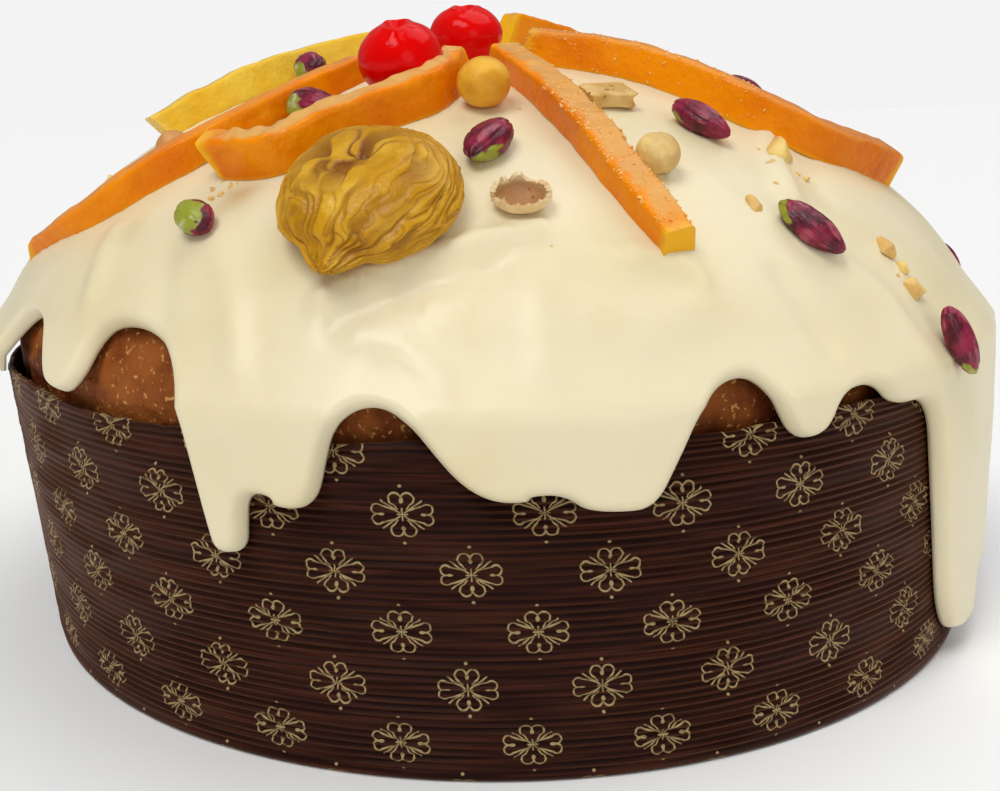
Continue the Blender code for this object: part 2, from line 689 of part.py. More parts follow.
def peel(name, height, width, tip_over, finish, way):
    """A strip of candied peel on its edge, laid over the icing and cut slanting."""
    stations = 13
    seats = [seat(azimuth, radius).translation for azimuth, radius in way]
    path = list(along_path(seats, stations))
    bm = bmesh.new()
    bmesh.ops.create_cube(bm, size=1.0)
    long_edges = [e for e in bm.edges if abs(e.verts[0].co.x - e.verts[1].co.x) > 0.5]
    bmesh.ops.bevel(bm, geom=long_edges, offset=0.2, segments=1, affect="EDGES")
    long_edges = [e for e in bm.edges if abs(e.verts[0].co.x - e.verts[1].co.x) > 0.5]
    bmesh.ops.subdivide_edges(bm, edges=long_edges, cuts=stations - 2)
    for vert in bm.verts:
        place = (vert.co.x + 0.5) * (stations - 1)
        k = min(round(place), stations - 1)
        ahead = path[min(k + 1, stations - 1)] - path[max(k - 1, 0)]
        _, up = above_icing(path[k])
        side = up.cross(ahead).normalized()
        tilted = Matrix.Rotation(math.radians(tip_over), 3, ahead) @ up
        level = (vert.co.z + 0.5) * height * MM + GAP
        slim = 1.0 - 0.10 * (vert.co.z + 0.5)
        slant = (0.5 - vert.co.z) * (0.35 if k in (0, stations - 1) else 0.0) * height * MM
        point = path[k] + tilted * level + side * (vert.co.y * width * slim * MM)
        vert.co = point + ahead.normalized() * (slant if k else -slant)
    made = new_object(name, mesh_of(bm, name), finish)
    for vert in made.data.vertices:
        for _ in range(6):
            clear, out = above_icing(vert.co)
            if clear >= TOPPING_GAP:
                break
            vert.co += out * (TOPPING_GAP - clear + 1e-6)
    return made


def press_against(made, neighbour):
    """Takes out of a topping what its neighbour fills, with the gap between them."""
    cutter = neighbour.copy()
    cutter.data = neighbour.data.copy()
    cutter.hide_render = True
    HELPERS.objects.link(cutter)
    grown = bmesh.new()
    grown.from_mesh(cutter.data)
    grown.normal_update()
    for vert in grown.verts:
        vert.co += vert.normal * PRESS_GAP
    grown.to_mesh(cutter.data)
    grown.free()
    cut = made.modifiers.new("pressed", "BOOLEAN")
    cut.operation = "DIFFERENCE"
    cut.object = cutter
    bpy.context.view_layer.update()
    graph = bpy.context.evaluated_depsgraph_get()
    pressed = bpy.data.meshes.new_from_object(made.evaluated_get(graph))
    made.modifiers.clear()
    made.data = pressed
    bpy.data.objects.remove(cutter)


def chip(index, azimuth, radius, size, draw):
    """A small broken piece of nut, pressed into the icing."""
    bm = bmesh.new()
    bmesh.ops.create_cube(bm, size=size * MM)
    for vert in bm.verts:
        vert.co *= draw.uniform(0.75, 1.1)
        vert.co.y *= 0.75
        vert.co.z *= 0.62
    made = new_object(f"chip_{index}", mesh_of(bm, "chip"), "hazelnut", HELPERS)
    made.matrix_world = seat(azimuth, radius, draw.uniform(0, 180))


def build():
    """Makes every piece of the panettone."""
    paper_case()
    dough()
    draw = random.Random(7)
    for index, (azimuth, radius, size) in enumerate(CHIPS):
        chip(index, azimuth, radius, size, draw)
    bpy.context.view_layer.update()
    icing()
    for strip in PEELS:
        peel(*strip)
    for row in CHERRIES:
        cherry(*row)
    for row in FIGS:
        fig(*row)
    for number, row in enumerate(PISTACHIOS, start=1):
        pistachio(f"pistachio_{number:02d}", *row)
    for number, row in enumerate(HAZELNUTS, start=1):
        hazelnut(f"hazelnut_{number}", *row)
    hollow_shard()
    flat_shard()
    for name, neighbours in LEANINGS:
        for neighbour in neighbours:
            press_against(PANETTONE.objects[name], PANETTONE.objects[neighbour])


build()
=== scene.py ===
"""Looks of a low glazed panettone in its ribbed brown paper case.

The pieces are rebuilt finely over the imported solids: the pressed paper case with its
printed ornament, the baked crust, the poured icing with its drips, and the candied
peel, cherries, figs, pistachios, hazelnuts, nut chips, syrup and sugar on top.
Lengths are metres. The front of the cake faces -Y.
"""

from __future__ import annotations

import itertools
import logging
import math
import random
from dataclasses import dataclass
from enum import Enum
from typing import Callable, Iterator, Sequence

import bmesh
import bpy
import numpy as np
from mathutils import Matrix, Vector
from mathutils.bvhtree import BVHTree


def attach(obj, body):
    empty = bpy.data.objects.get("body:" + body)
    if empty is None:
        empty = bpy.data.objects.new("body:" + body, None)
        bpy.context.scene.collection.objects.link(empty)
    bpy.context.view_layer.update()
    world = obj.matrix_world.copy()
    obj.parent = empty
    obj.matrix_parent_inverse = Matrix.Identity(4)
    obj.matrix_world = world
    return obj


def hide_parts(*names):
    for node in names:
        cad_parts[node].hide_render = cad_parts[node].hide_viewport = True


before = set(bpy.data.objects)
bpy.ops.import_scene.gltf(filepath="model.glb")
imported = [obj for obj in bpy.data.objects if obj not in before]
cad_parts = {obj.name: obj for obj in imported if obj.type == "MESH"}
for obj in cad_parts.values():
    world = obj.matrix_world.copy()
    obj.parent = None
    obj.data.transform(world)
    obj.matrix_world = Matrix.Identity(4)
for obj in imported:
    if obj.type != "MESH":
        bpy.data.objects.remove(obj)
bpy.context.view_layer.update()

log = logging.getLogger("panettone")

MM = 0.001

Colour = tuple[float, float, float]
Rows = np.ndarray
Object = bpy.types.Object
Node = bpy.types.Node
NodeTree = bpy.types.NodeTree
Socket = bpy.types.NodeSocket


class Slot(Enum):
    """The record's material slots."""

    PAPER = "paper"
    CRUST = "crust"
    ICING = "icing"
    ORANGE_PEEL = "orange_peel"
    LEMON_PEEL = "lemon_peel"
    CHERRY = "cherry"
    FIG = "fig"
    PISTACHIO = "pistachio"
    HAZELNUT = "hazelnut"


# Mesh tools


def deselect_all() -> None:
    """Leaves edit mode and clears the selection."""
    if bpy.context.mode != "OBJECT":
        bpy.ops.object.mode_set(mode="OBJECT")
    bpy.ops.object.select_all(action="DESELECT")


def activate(thing: Object) -> None:
    """Makes one object the only selected and the active one.

    Args:
        thing: The object to work on.
    """
    deselect_all()
    thing.select_set(True)
    bpy.context.view_layer.objects.active = thing


def edit(thing: Object, element: str = "VERT") -> None:
    """Opens an object in edit mode with nothing selected.

    Args:
        thing: The mesh object.
        element: VERT, EDGE or FACE selection.
    """
    activate(thing)
    bpy.ops.object.mode_set(mode="EDIT")
    bpy.ops.mesh.select_mode(type=element)
    bpy.ops.mesh.select_all(action="DESELECT")


def pick_edges(thing: Object, test: Callable[[Vector, Vector], bool]) -> None:
    """Selects the edges whose two ends pass a test, and nothing else.

    Args:
        thing: The object in edit mode.
        test: Takes the places of an edge's ends.
    """
    bpy.ops.mesh.select_mode(type="EDGE")
    shape = bmesh.from_edit_mesh(thing.data)
    for edge in shape.edges:
        edge.select_set(test(edge.verts[0].co, edge.verts[1].co))
    bmesh.update_edit_mesh(thing.data)


def pick_faces(thing: Object, test: Callable[[Vector], bool]) -> None:
    """Selects the faces whose middle passes a test, and nothing else.

    Args:
        thing: The object in edit mode.
        test: Takes the middle of a face.
    """
    bpy.ops.mesh.select_mode(type="FACE")
    shape = bmesh.from_edit_mesh(thing.data)
    for face in shape.faces:
        face.select_set(test(face.calc_center_median()))
    bmesh.update_edit_mesh(thing.data)


def positions(thing: Object) -> Rows:
    """The places of a mesh's vertices as rows of three.

    Args:
        thing: The mesh object.

    Returns:
        Rows of three coordinates.
    """
    flat = np.empty(len(thing.data.vertices) * 3)
    thing.data.vertices.foreach_get("co", flat)
    return flat.reshape(-1, 3)


def set_positions(thing: Object, points: Rows) -> None:
    """Moves a mesh's vertices to new places."""
    thing.data.vertices.foreach_set("co", np.ascontiguousarray(points).ravel())
    thing.data.update()


def normals(thing: Object) -> Rows:
    """The directions in which a mesh's vertices face.

    Args:
        thing: The mesh object.

    Returns:
        Rows of three, each of length 1.
    """
    flat = np.empty(len(thing.data.vertices) * 3)
    thing.data.vertex_normals.foreach_get("vector", flat)
    return flat.reshape(-1, 3)


def paint(thing: Object, name: str, values: Rows) -> None:
    """Stores a number for each vertex under a name that a material reads.

    Args:
        thing: The mesh object.
        name: The attribute's name.
        values: One number for each vertex.
    """
    layer = thing.data.attributes.new(name, "FLOAT", "POINT")
    layer.data.foreach_set("value", np.asarray(values, np.float32))


def apply_modifiers(thing: Object) -> None:
    """Applies all of an object's modifiers in their order.

    Args:
        thing: The mesh object.
    """
    activate(thing)
    for modifier in list(thing.modifiers):
        bpy.ops.object.modifier_apply(modifier=modifier.name)


def shade(thing: Object, angle: float | None = None) -> None:
    """Shades a mesh smooth, with edges sharper than an angle kept.

    Args:
        thing: The mesh object.
        angle: The least angle of a kept edge in degrees, or None for none.
    """
    activate(thing)
    if angle is None:
        bpy.ops.object.shade_smooth()
    else:
        bpy.ops.object.shade_smooth_by_angle(angle=math.radians(angle))


def icosphere(name: str, level: int) -> Object:
    """Adds a unit ball of even triangles at the origin.

    Args:
        name: The new object's name.
        level: How often its faces are split; 6 gives 20,480.

    Returns:
        The ball, one metre across, to be shaped.
    """
    deselect_all()
    bpy.ops.mesh.primitive_ico_sphere_add(subdivisions=level, radius=0.5)
    made = bpy.context.object
    made.name = name
    return made


def turned(name: str, profile: Sequence[tuple[float, float]], steps: int) -> Object:
    """Turns a profile round the Z axis by extruding a point along it and spinning.

    Args:
        name: The new object's name.
        profile: (radius, height) points from axis to axis.
        steps: How many columns the turn has.

    Returns:
        The closed turned mesh.
    """
    deselect_all()
    bpy.ops.mesh.primitive_plane_add(size=MM)
    made = bpy.context.object
    made.name = name
    bpy.ops.object.mode_set(mode="EDIT")
    bpy.ops.mesh.merge(type="CENTER")
    start = profile[0]
    bpy.ops.transform.translate(value=(start[0], 0.0, start[1]))
    for (r_a, z_a), (r_b, z_b) in zip(profile, profile[1:]):
        step = {"value": (r_b - r_a, 0.0, z_b - z_a)}
        bpy.ops.mesh.extrude_region_move(TRANSFORM_OT_translate=step)
    bpy.ops.mesh.select_all(action="SELECT")
    bpy.ops.mesh.spin(steps=steps, angle=math.tau, use_auto_merge=True,
                      center=(0.0, 0.0, 0.0), axis=(0.0, 0.0, 1.0))
    bpy.ops.mesh.select_all(action="SELECT")
    bpy.ops.mesh.remove_doubles(threshold=1e-6)
    bpy.ops.mesh.normals_make_consistent(inside=False)
    bpy.ops.object.mode_set(mode="OBJECT")
    return made


def cube(name: str) -> Object:
    """Adds a cube at the origin.

    Args:
        name: The new object's name.

    Returns:
        The cube, one metre wide, to be shaped.
    """
    deselect_all()
    bpy.ops.mesh.primitive_cube_add(size=1.0)
    made = bpy.context.object
    made.name = name
    return made


def linked(name: str, data: bpy.types.ID) -> Object:
    """Adds an object to the scene.

    Args:
        name: The new object's name.
        data: The mesh, light or camera that it holds.

    Returns:
        The object.
    """
    made = bpy.data.objects.new(name, data)
    bpy.context.scene.collection.objects.link(made)
    return made


def scattered(name: str, seeds: Sequence[Object],
              places: Sequence[Matrix]) -> Object:
    """Joins many placed copies of a few small seed shapes into one mesh.

    Args:
        name: The new object's name.
        seeds: Small mesh objects, used in turn and removed.
        places: Where each copy goes.

    Returns:
        One object that holds all the copies.
    """
    points: list[Rows] = []
    faces: list[tuple[int, ...]] = []
    start = 0
    for place, seed in zip(places, itertools.cycle(seeds)):
        spot = np.array(place)
        points.append(positions(seed) @ spot[:3, :3].T + spot[:3, 3])
        faces += [tuple(start + i for i in face.vertices) for face in seed.data.polygons]
        start += len(seed.data.vertices)
    mesh = bpy.data.meshes.new(name)
    mesh.from_pydata(np.vstack(points).tolist(), [], faces)
    made = linked(name, mesh)
    for seed in seeds:
        bpy.data.objects.remove(seed)
    return made


def present(piece: Object, finish: bpy.types.Material, slot: Slot,
            *nodes: str) -> None:
    """Gives a finished piece its material and hands it to the frame.

    Args:
        piece: The finished mesh, with its place in its mesh.
        finish: Its material.
        slot: The record's slot that it belongs to; not used.
        nodes: The CAD nodes that it stands for.
    """
    piece.data.materials.clear()
    piece.data.materials.append(finish)
    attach(piece, "root")
    if nodes:
        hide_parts(*nodes)
    log.info("%s: %d faces", piece.name, len(piece.data.polygons))


# Numbers over surfaces


def fixed_random(cells: Rows, seed: int) -> Rows:
    """A fixed value from -1 to 1 for each whole-number cell.

    Args:
        cells: Rows of three whole numbers.
        seed: Chooses another set of values.

    Returns:
        One value for each row.
    """
    x, y, z = cells.astype(np.int64).T
    mixed = x * 374761393 + y * 668265263 + z * 1442695041 + seed * 1274126177
    mixed = (mixed ^ (mixed >> 13)) * 1274126177
    mixed = mixed ^ (mixed >> 16)
    return (mixed & 0xFFFF) / 32767.5 - 1.0


def wobble(points: Rows, size: float, seed: int = 0) -> Rows:
    """Smooth noise from -1 to 1.

    Args:
        points: Rows of three coordinates.
        size: The size of its features, in the points' unit.
        seed: Chooses another pattern.

    Returns:
        One value for each row.
    """
    scaled = points / size
    cell = np.floor(scaled)
    share = scaled - cell
    share = share**3 * (share * (share * 6 - 15) + 10)
    total = np.zeros(len(points))
    for corner in itertools.product((0, 1), repeat=3):
        weight = np.prod(np.where(corner, share, 1 - share), axis=1)
        total += weight * fixed_random(cell + np.array(corner), seed)
    return total


def ramped(values: Rows, low: float, high: float) -> Rows:
    """A smooth step from 0 at low to 1 at high."""
    share = np.clip((values - low) / (high - low), 0.0, 1.0)
    return share * share * (3 - 2 * share)


def bump_of(distance: Rows, width: float) -> Rows:
    """A bell of height 1 at distance 0."""
    return np.exp(-((distance / width) ** 2))


def distance_to_line(points: Rows, way: Sequence[Rows]) -> Rows:
    """How far points are from a line through several places.

    Args:
        points: Rows of three coordinates.
        way: The places that the line joins.

    Returns:
        One distance for each row.
    """
    nearest = np.full(len(points), np.inf)
    for start, end in zip(way, way[1:]):
        run = end - start
        share = np.clip((points - start) @ run / (run @ run), 0.0, 1.0)
        nearest = np.minimum(nearest, np.linalg.norm(points - start - share[:, None] * run, axis=1))
    return nearest


def smooth_line(points: Rows, shares: Rows) -> Rows:
    """Places along a smooth curve through points, at shares of its way.

    Args:
        points: The places that the curve passes.
        shares: From 0 at the first to 1 at the last.

    Returns:
        One place for each share.
    """
    ends = np.vstack([2 * points[0] - points[1], points, 2 * points[-1] - points[-2]])
    spans = len(points) - 1
    first = np.minimum((shares * spans).astype(int), spans - 1)
    t = (shares * spans - first)[:, None]
    a, b, c, d = (ends[first + k] for k in range(4))
    return 0.5 * (2 * b + (c - a) * t + (2 * a - 5 * b + 4 * c - d) * t**2
                  + (3 * b - a - 3 * c + d) * t**3)


# The loaf's shape


@dataclass(frozen=True)
class Loaf:
    """The sizes that the case, the crust and the icing share, in the row frame."""

    base_radius: float = 0.105
    rim_radius: float = 0.1073
    case_height: float = 0.060
    paper: float = 0.0009
    rim_shift: float = -0.00275
    lean: float = -0.045
    spring: float = 0.058
    dome_radius: float = 0.109
    rise: float = 0.063
    point: float = 1.7
    round: float = 1.9

    def centre_x(self, height: Rows) -> Rows:
        """X of the leaning centre line at a height.

        Args:
            height: One height or several.

        Returns:
            X for each height.
        """
        height = np.asarray(height, float)
        above = self.rim_shift + self.lean * (height - self.case_height)
        return np.where(height <= self.case_height,
                        self.rim_shift * height / self.case_height, above)

    def case_radius(self, height: float) -> float:
        """Outer radius of the paper at a height."""
        share = height / self.case_height
        return self.base_radius + (self.rim_radius - self.base_radius) * share

    def height_at(self, radius: float, skin: float = 0.0) -> float:
        """Height of the dome at a radius, on the layer skin below its top."""
        share = min(radius / (self.dome_radius - skin), 1.0)
        return self.spring + (self.rise - skin) * (1 - share**self.point) ** (1 / self.round)

    def radius_at(self, height: float, skin: float = 0.0) -> float:
        """Radius of the dome at a height, on the layer skin below its top."""
        share = max(height - self.spring, 0.0) / (self.rise - skin)
        return (self.dome_radius - skin) * (1 - share**self.round) ** (1 / self.point)

    def level(self, points: Rows) -> Rows:
        """Below 0 inside the icing's top surface and above 0 outside it.

        Args:
            points: Rows of three coordinates.

        Returns:
            One value for each row.
        """
        radius = np.hypot(points[:, 0] - self.centre_x(points[:, 2]), points[:, 1])
        rise = np.maximum(points[:, 2] - self.spring, 0.0) / self.rise
        return rise**self.round + (radius / self.dome_radius) ** self.point - 1

    def way_out(self, points: Rows) -> tuple[Rows, Rows]:
        """How far points stand off the icing's top, and the direction out of it.

        Args:
            points: Rows of three coordinates.

        Returns:
            The distances and the unit directions.
        """
        step = 1e-5
        here = self.level(points)
        slope = np.column_stack([(self.level(points + step * axis) - here) / step
                                 for axis in np.eye(3)])
        length = np.linalg.norm(slope, axis=1)
        return here / length, slope / length[:, None]

    def spot(self, azimuth: float, radius_mm: float) -> Rows:
        """The point of the icing's top at an azimuth in degrees and a radius.

        Args:
            azimuth: Direction from the centre line, in degrees.
            radius_mm: Distance from the centre line, in millimetres.

        Returns:
            Its three coordinates.
        """
        turn = math.radians(azimuth)
        radius = radius_mm * MM
        height = self.height_at(radius)
        x = float(self.centre_x(height)) + radius * math.cos(turn)
        return np.array([x, radius * math.sin(turn), height])

    def seat(self, azimuth: float, radius_mm: float, heading: float = 0.0) -> Matrix:
        """A frame on the icing: Z out of it, X downhill, turned by a heading.

        Args:
            azimuth: Direction from the centre line, in degrees.
            radius_mm: Distance from the centre line, in millimetres.
            heading: Turn about Z, in degrees.

        Returns:
            The frame.
        """
        point = self.spot(azimuth, radius_mm)
        up = Vector(self.way_out(point[None])[1][0])
        turn = math.radians(azimuth)
        across = up.cross(Vector((math.cos(turn), math.sin(turn), 0.0))).normalized()
        seat = Matrix((across.cross(up), across, up)).transposed().to_4x4()
        seat.translation = Vector(point)
        return seat @ Matrix.Rotation(math.radians(heading), 4, "Z")


LOAF = Loaf()


@dataclass(frozen=True)
class Seat:
    """Where a topping lies: its middle, its own axes and its size along each, read
    from its CAD node."""

    middle: Rows
    axes: Rows
    size: Rows

    @classmethod
    def of(cls, node: str, lengthwise: bool = False) -> Seat:
        """Reads a node's seat.

        Args:
            node: The CAD node.
            lengthwise: Turn the first axis along the node's longest way on the
                icing; it points downhill otherwise.

        Returns:
            The node's seat.
        """
        points = positions(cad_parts[node])
        middle = (points.min(axis=0) + points.max(axis=0)) / 2
        up = LOAF.way_out(middle[None])[1][0]
        first = np.array([middle[0] - float(LOAF.centre_x(middle[2])), middle[1], 0.0])
        if lengthwise:
            flat = points - middle
            flat = flat - np.outer(flat @ up, up)
            _, directions = np.linalg.eigh(flat.T @ flat)
            longest = directions[:, -1]
            first = longest if longest @ first > 0 else -longest
        across = np.cross(up, first)
        across /= np.linalg.norm(across)
        axes = np.vstack([np.cross(across, up), across, up])
        local = (points - middle) @ axes.T
        low, high = local.min(axis=0), local.max(axis=0)
        return cls(middle + (low + high) / 2 @ axes, axes, high - low)

    def place(self, local: Rows) -> Rows:
        """Takes places in the seat's own axes to the row frame."""
        return self.middle + local @ self.axes

    def turned_in(self, direction: Sequence[float]) -> Rows:
        """A direction of the row frame in the seat's own axes."""
        local = self.axes @ np.array(direction, float)
        return local / np.linalg.norm(local)


# Shader tools

Feed = Socket | float | tuple


class Tree:
    """Adds nodes to a shader tree and joins them."""

    # The Mix node's sockets for colours, whose names its other kinds share
    mix_inputs = (0, 6, 7)
    mix_result = 2

    def __init__(self, tree: bpy.types.ShaderNodeTree) -> None:
        """Starts on a tree."""
        self.tree = tree

    def add(self, kind: str, **settings: object) -> Node:
        """Adds a node with some of its settings.

        Args:
            kind: The node's type.
            settings: Its properties by name.

        Returns:
            The new node.
        """
        made = self.tree.nodes.new(kind)
        for name, value in settings.items():
            setattr(made, name, value)
        return made

    def feed(self, socket: Socket, value: Feed) -> None:
        """Joins a socket to another, or sets its plain value.

        Args:
            socket: The socket to feed.
            value: Another socket, a number, or a colour or place.
        """
        if isinstance(value, Socket):
            self.tree.links.new(value, socket)
        elif isinstance(value, tuple) and len(value) == 3 and len(socket.default_value) == 4:
            socket.default_value = (*value, 1.0)
        else:
            socket.default_value = value

    def fill(self, node: Node, **values: Feed) -> None:
        """Feeds a node's sockets by their names, with _ for a space."""
        for name, value in values.items():
            self.feed(node.inputs[name.replace("_", " ")], value)

    def math(self, operation: str, *values: Feed) -> Socket:
        """Adds a Math node.

        Args:
            operation: What it does.
            values: What it does that to.

        Returns:
            Its result.
        """
        made = self.add("ShaderNodeMath", operation=operation)
        for socket, value in zip(made.inputs, values):
            self.feed(socket, value)
        return made.outputs[0]

    def near(self, distance: Feed, width: float, soft: float) -> Socket:
        """1 where a distance is under a width, and 0 past it, with a soft edge."""
        return self.step(distance, width + soft, width - soft)

    def step(self, value: Feed, low: Feed, high: Feed) -> Socket:
        """Adds a smooth step.

        Args:
            value: What is stepped.
            low: The value that gives 0.
            high: The value that gives 1.

        Returns:
            The step's result.
        """
        made = self.add("ShaderNodeMapRange", interpolation_type="SMOOTHSTEP")
        self.fill(made, Value=value, From_Min=low, From_Max=high)
        return made.outputs["Result"]

    def noise(self, place: Feed, scale: float, detail: float = 3.0,
              roughness: float = 0.55) -> Socket:
        """Adds a Noise Texture.

        Args:
            place: The coordinates that it is read at.
            scale: How close its features lie.
            detail: How many finer layers it has.
            roughness: How strong those are.

        Returns:
            Its value.
        """
        made = self.add("ShaderNodeTexNoise")
        self.fill(made, Vector=place, Scale=scale, Detail=detail, Roughness=roughness)
        return made.outputs["Fac"]

    def object_place(self) -> Socket:
        """The Object coordinates."""
        return self.add("ShaderNodeTexCoord").outputs["Object"]

    def attribute(self, name: str) -> Socket:
        """A painted number of the mesh."""
        return self.add("ShaderNodeAttribute", attribute_name=name).outputs["Fac"]

    def mix(self, share: Feed, first: Feed, second: Feed) -> Socket:
        """Mixes two colours by a share that changes over the surface.

        Args:
            share: 0 for the first colour and 1 for the second.
            first: The one colour.
            second: The other.

        Returns:
            The mixed colour.
        """
        made = self.add("ShaderNodeMix", data_type="RGBA")
        for index, value in zip(self.mix_inputs, (share, first, second)):
            self.feed(made.inputs[index], value)
        return made.outputs[self.mix_result]

    def group(self, group: NodeTree, **values: Feed) -> Node:
        """Places a node group with its own values.

        Args:
            group: The shared group.
            values: Its inputs by name, with _ for a space.

        Returns:
            The group's node.
        """
        made = self.add("ShaderNodeGroup", node_tree=group)
        self.fill(made, **values)
        return made


def new_group(name: str, inputs: dict[str, str], outputs: dict[str, str]
              ) -> tuple[Tree, Node, Node]:
    """Starts a node group with named sockets.

    Args:
        name: The group's name.
        inputs: Socket names and their types.
        outputs: Socket names and their types.

    Returns:
        The tree, its input node and its output node.
    """
    group = bpy.data.node_groups.new(name, "ShaderNodeTree")
    for in_out, sockets in (("INPUT", inputs), ("OUTPUT", outputs)):
        for label, kind in sockets.items():
            group.interface.new_socket(label, in_out=in_out, socket_type=kind)
    tree = Tree(group)
    return tree, tree.add("NodeGroupInput"), tree.add("NodeGroupOutput")


FLOAT = "NodeSocketFloat"
VECTOR = "NodeSocketVector"


class SharedEffects:
    """The node groups that more than one finish uses."""

    def __init__(self) -> None:
        """Builds the groups once."""
        self.mottle = self.build_mottle()
        self.grain = self.build_grain()
        self.print = self.build_print()

    @staticmethod
    def build_mottle() -> NodeTree:
        """Uneven patches from 0 to 1, of a scale and with soft edges.

        Returns:
            The node group.
        """
        tree, given, result = new_group(
            "mottle", {"Place": VECTOR, "Scale": FLOAT, "Low": FLOAT, "High": FLOAT},
            {"Mask": FLOAT})
        noise = tree.add("ShaderNodeTexNoise")
        tree.fill(noise, Vector=given.outputs["Place"], Scale=given.outputs["Scale"], Detail=4.0)
        mask = tree.step(noise.outputs["Fac"], given.outputs["Low"], given.outputs["High"])
        tree.fill(result, Mask=mask)
        return tree.tree

    @staticmethod
    def build_grain() -> NodeTree:
        """A fine uneven relief, as a normal.

        Returns:
            The node group.
        """
        tree, given, result = new_group(
            "grain", {"Place": VECTOR, "Scale": FLOAT, "Depth": FLOAT}, {"Normal": VECTOR})
        noise = tree.add("ShaderNodeTexNoise")
        tree.fill(noise, Vector=given.outputs["Place"], Scale=given.outputs["Scale"], Detail=5.0)
        bump = tree.add("ShaderNodeBump")
        tree.fill(bump, Height=noise.outputs["Fac"], Distance=given.outputs["Depth"])
        tree.fill(result, Normal=bump.outputs["Normal"])
        return tree.tree

    @staticmethod
    def build_print() -> NodeTree:
        """A clover ornament of drawn lines round (0, 0), in millimetres: four
        heart-shaped petals, stamens between them, a centre cross and dots.

        Returns:
            The node group.
        """
        tree, given, result = new_group(
            "clover", {"Across": FLOAT, "Up": FLOAT}, {"Mask": FLOAT})
        across = tree.math("ABSOLUTE", given.outputs["Across"])
        up = tree.math("ABSOLUTE", given.outputs["Up"])
        line, soft = 0.14, 0.07

        def petal(along: Feed, aside: Feed, length: float, lobe: float,
                  narrow: float, widening: float) -> Socket:
            """Drawn outline of two petals that share an axis.

            Args:
                along: How far a place is along the petals' axis.
                aside: How far it is beside it.
                length: From the middle to a petal's tip.
                lobe: The radius of each of its two lobes.
                narrow: Half its width at the middle.
                widening: How fast it widens from there.

            Returns:
                The outline's mask.
            """
            reach = length - lobe
            beyond = tree.math("SUBTRACT", along, reach)
            off = tree.math("SUBTRACT", aside, lobe)
            square = tree.math("ADD", tree.math("MULTIPLY", beyond, beyond),
                               tree.math("MULTIPLY", off, off))
            to_lobe = tree.math("SUBTRACT", tree.math("SQRT", square), lobe)
            width = tree.math("ADD", tree.math("MULTIPLY", along, widening), narrow)
            to_side = tree.math("MAXIMUM", tree.math("SUBTRACT", aside, width), beyond)
            outline = tree.math("ABSOLUTE", tree.math("MINIMUM", to_lobe, to_side))
            drawn = tree.near(outline, line, soft)
            return tree.math("MULTIPLY", drawn, tree.step(along, 0.75, 0.95))

        def dot(x: float, y: float, width: float, height: float) -> Socket:
            """Four, or two, mirrored filled dots.

            Args:
                x: Where the dots are across.
                y: Where they are upwards.
                width: Half a dot's width.
                height: Half its height.

            Returns:
                The dots' mask.
            """
            far_x = tree.math("DIVIDE", tree.math("SUBTRACT", across, x), width)
            far_y = tree.math("DIVIDE", tree.math("SUBTRACT", up, y), height)
            far = tree.math("ADD", tree.math("MULTIPLY", far_x, far_x),
                            tree.math("MULTIPLY", far_y, far_y))
            return tree.near(far, 1.0, 0.4)

        lean_x, lean_y = 0.81, 0.586
        aside = tree.math("ABSOLUTE", tree.math(
            "SUBTRACT", tree.math("MULTIPLY", across, lean_y), tree.math("MULTIPLY", up, lean_x)))
        along = tree.math("ADD", tree.math("MULTIPLY", across, lean_x),
                          tree.math("MULTIPLY", up, lean_y))
        stamen = tree.math("MULTIPLY", tree.near(aside, 0.12, soft),
                           tree.math("MULTIPLY", tree.step(along, 0.3, 0.5),
                                     tree.near(along, 4.1, 0.1)))
        upright = tree.math("MULTIPLY", tree.near(across, 0.12, soft), tree.near(up, 1.1, 0.1))
        level = tree.math("MULTIPLY", tree.near(up, 0.12, soft), tree.near(across, 0.9, 0.1))
        drawn = [
            petal(up, across, 3.65, 1.0, 0.12, 0.72), petal(across, up, 4.86, 0.86, 0.42, 0.31),
            dot(0.0, 2.35, 0.34, 0.45), dot(3.4, 0.0, 0.5, 0.24), dot(0.0, 4.8, 0.3, 0.24),
            stamen, upright, level]
        total = drawn[0]
        for part in drawn[1:]:
            total = tree.math("MAXIMUM", total, part)
        tree.feed(result.inputs["Mask"], total)
        return tree.tree


@dataclass(frozen=True)
class Finish:
    """A material of this cake: a name, a way to dress it, and the shared effects."""

    name: str
    effects: SharedEffects

    def make(self) -> bpy.types.Material:
        """Builds the material.

        Returns:
            The new material.
        """
        made = bpy.data.materials.new(self.name)
        made.use_nodes = True
        shader = made.node_tree.nodes["Principled BSDF"]
        self.dress(Tree(made.node_tree), shader)
        return made

    def patches(self, tree: Tree, scale: float, low: float, high: float) -> Socket:
        """Adds uneven patches over the piece.

        Args:
            tree: The material's tree.
            scale: How close they lie.
            low: The noise at which one begins.
            high: The noise at which it is full.

        Returns:
            Their mask, from 0 to 1.
        """
        made = tree.group(self.effects.mottle, Place=tree.object_place(), Scale=scale,
                          Low=low, High=high)
        return made.outputs["Mask"]

    def roughen(self, tree: Tree, shader: Node, scale: float, depth: float) -> None:
        """Gives a shader a finely grained normal.

        Args:
            tree: The material's tree.
            shader: Its Principled shader.
            scale: How close the grains lie.
            depth: How deep they are, in metres.
        """
        grain = tree.group(self.effects.grain, Place=tree.object_place(), Scale=scale, Depth=depth)
        tree.fill(shader, Normal=grain.outputs["Normal"])

    def dress(self, tree: Tree, shader: Node) -> None:
        """Sets the shader and what feeds it.

        Args:
            tree: The material's tree.
            shader: Its Principled shader.
        """
        raise NotImplementedError


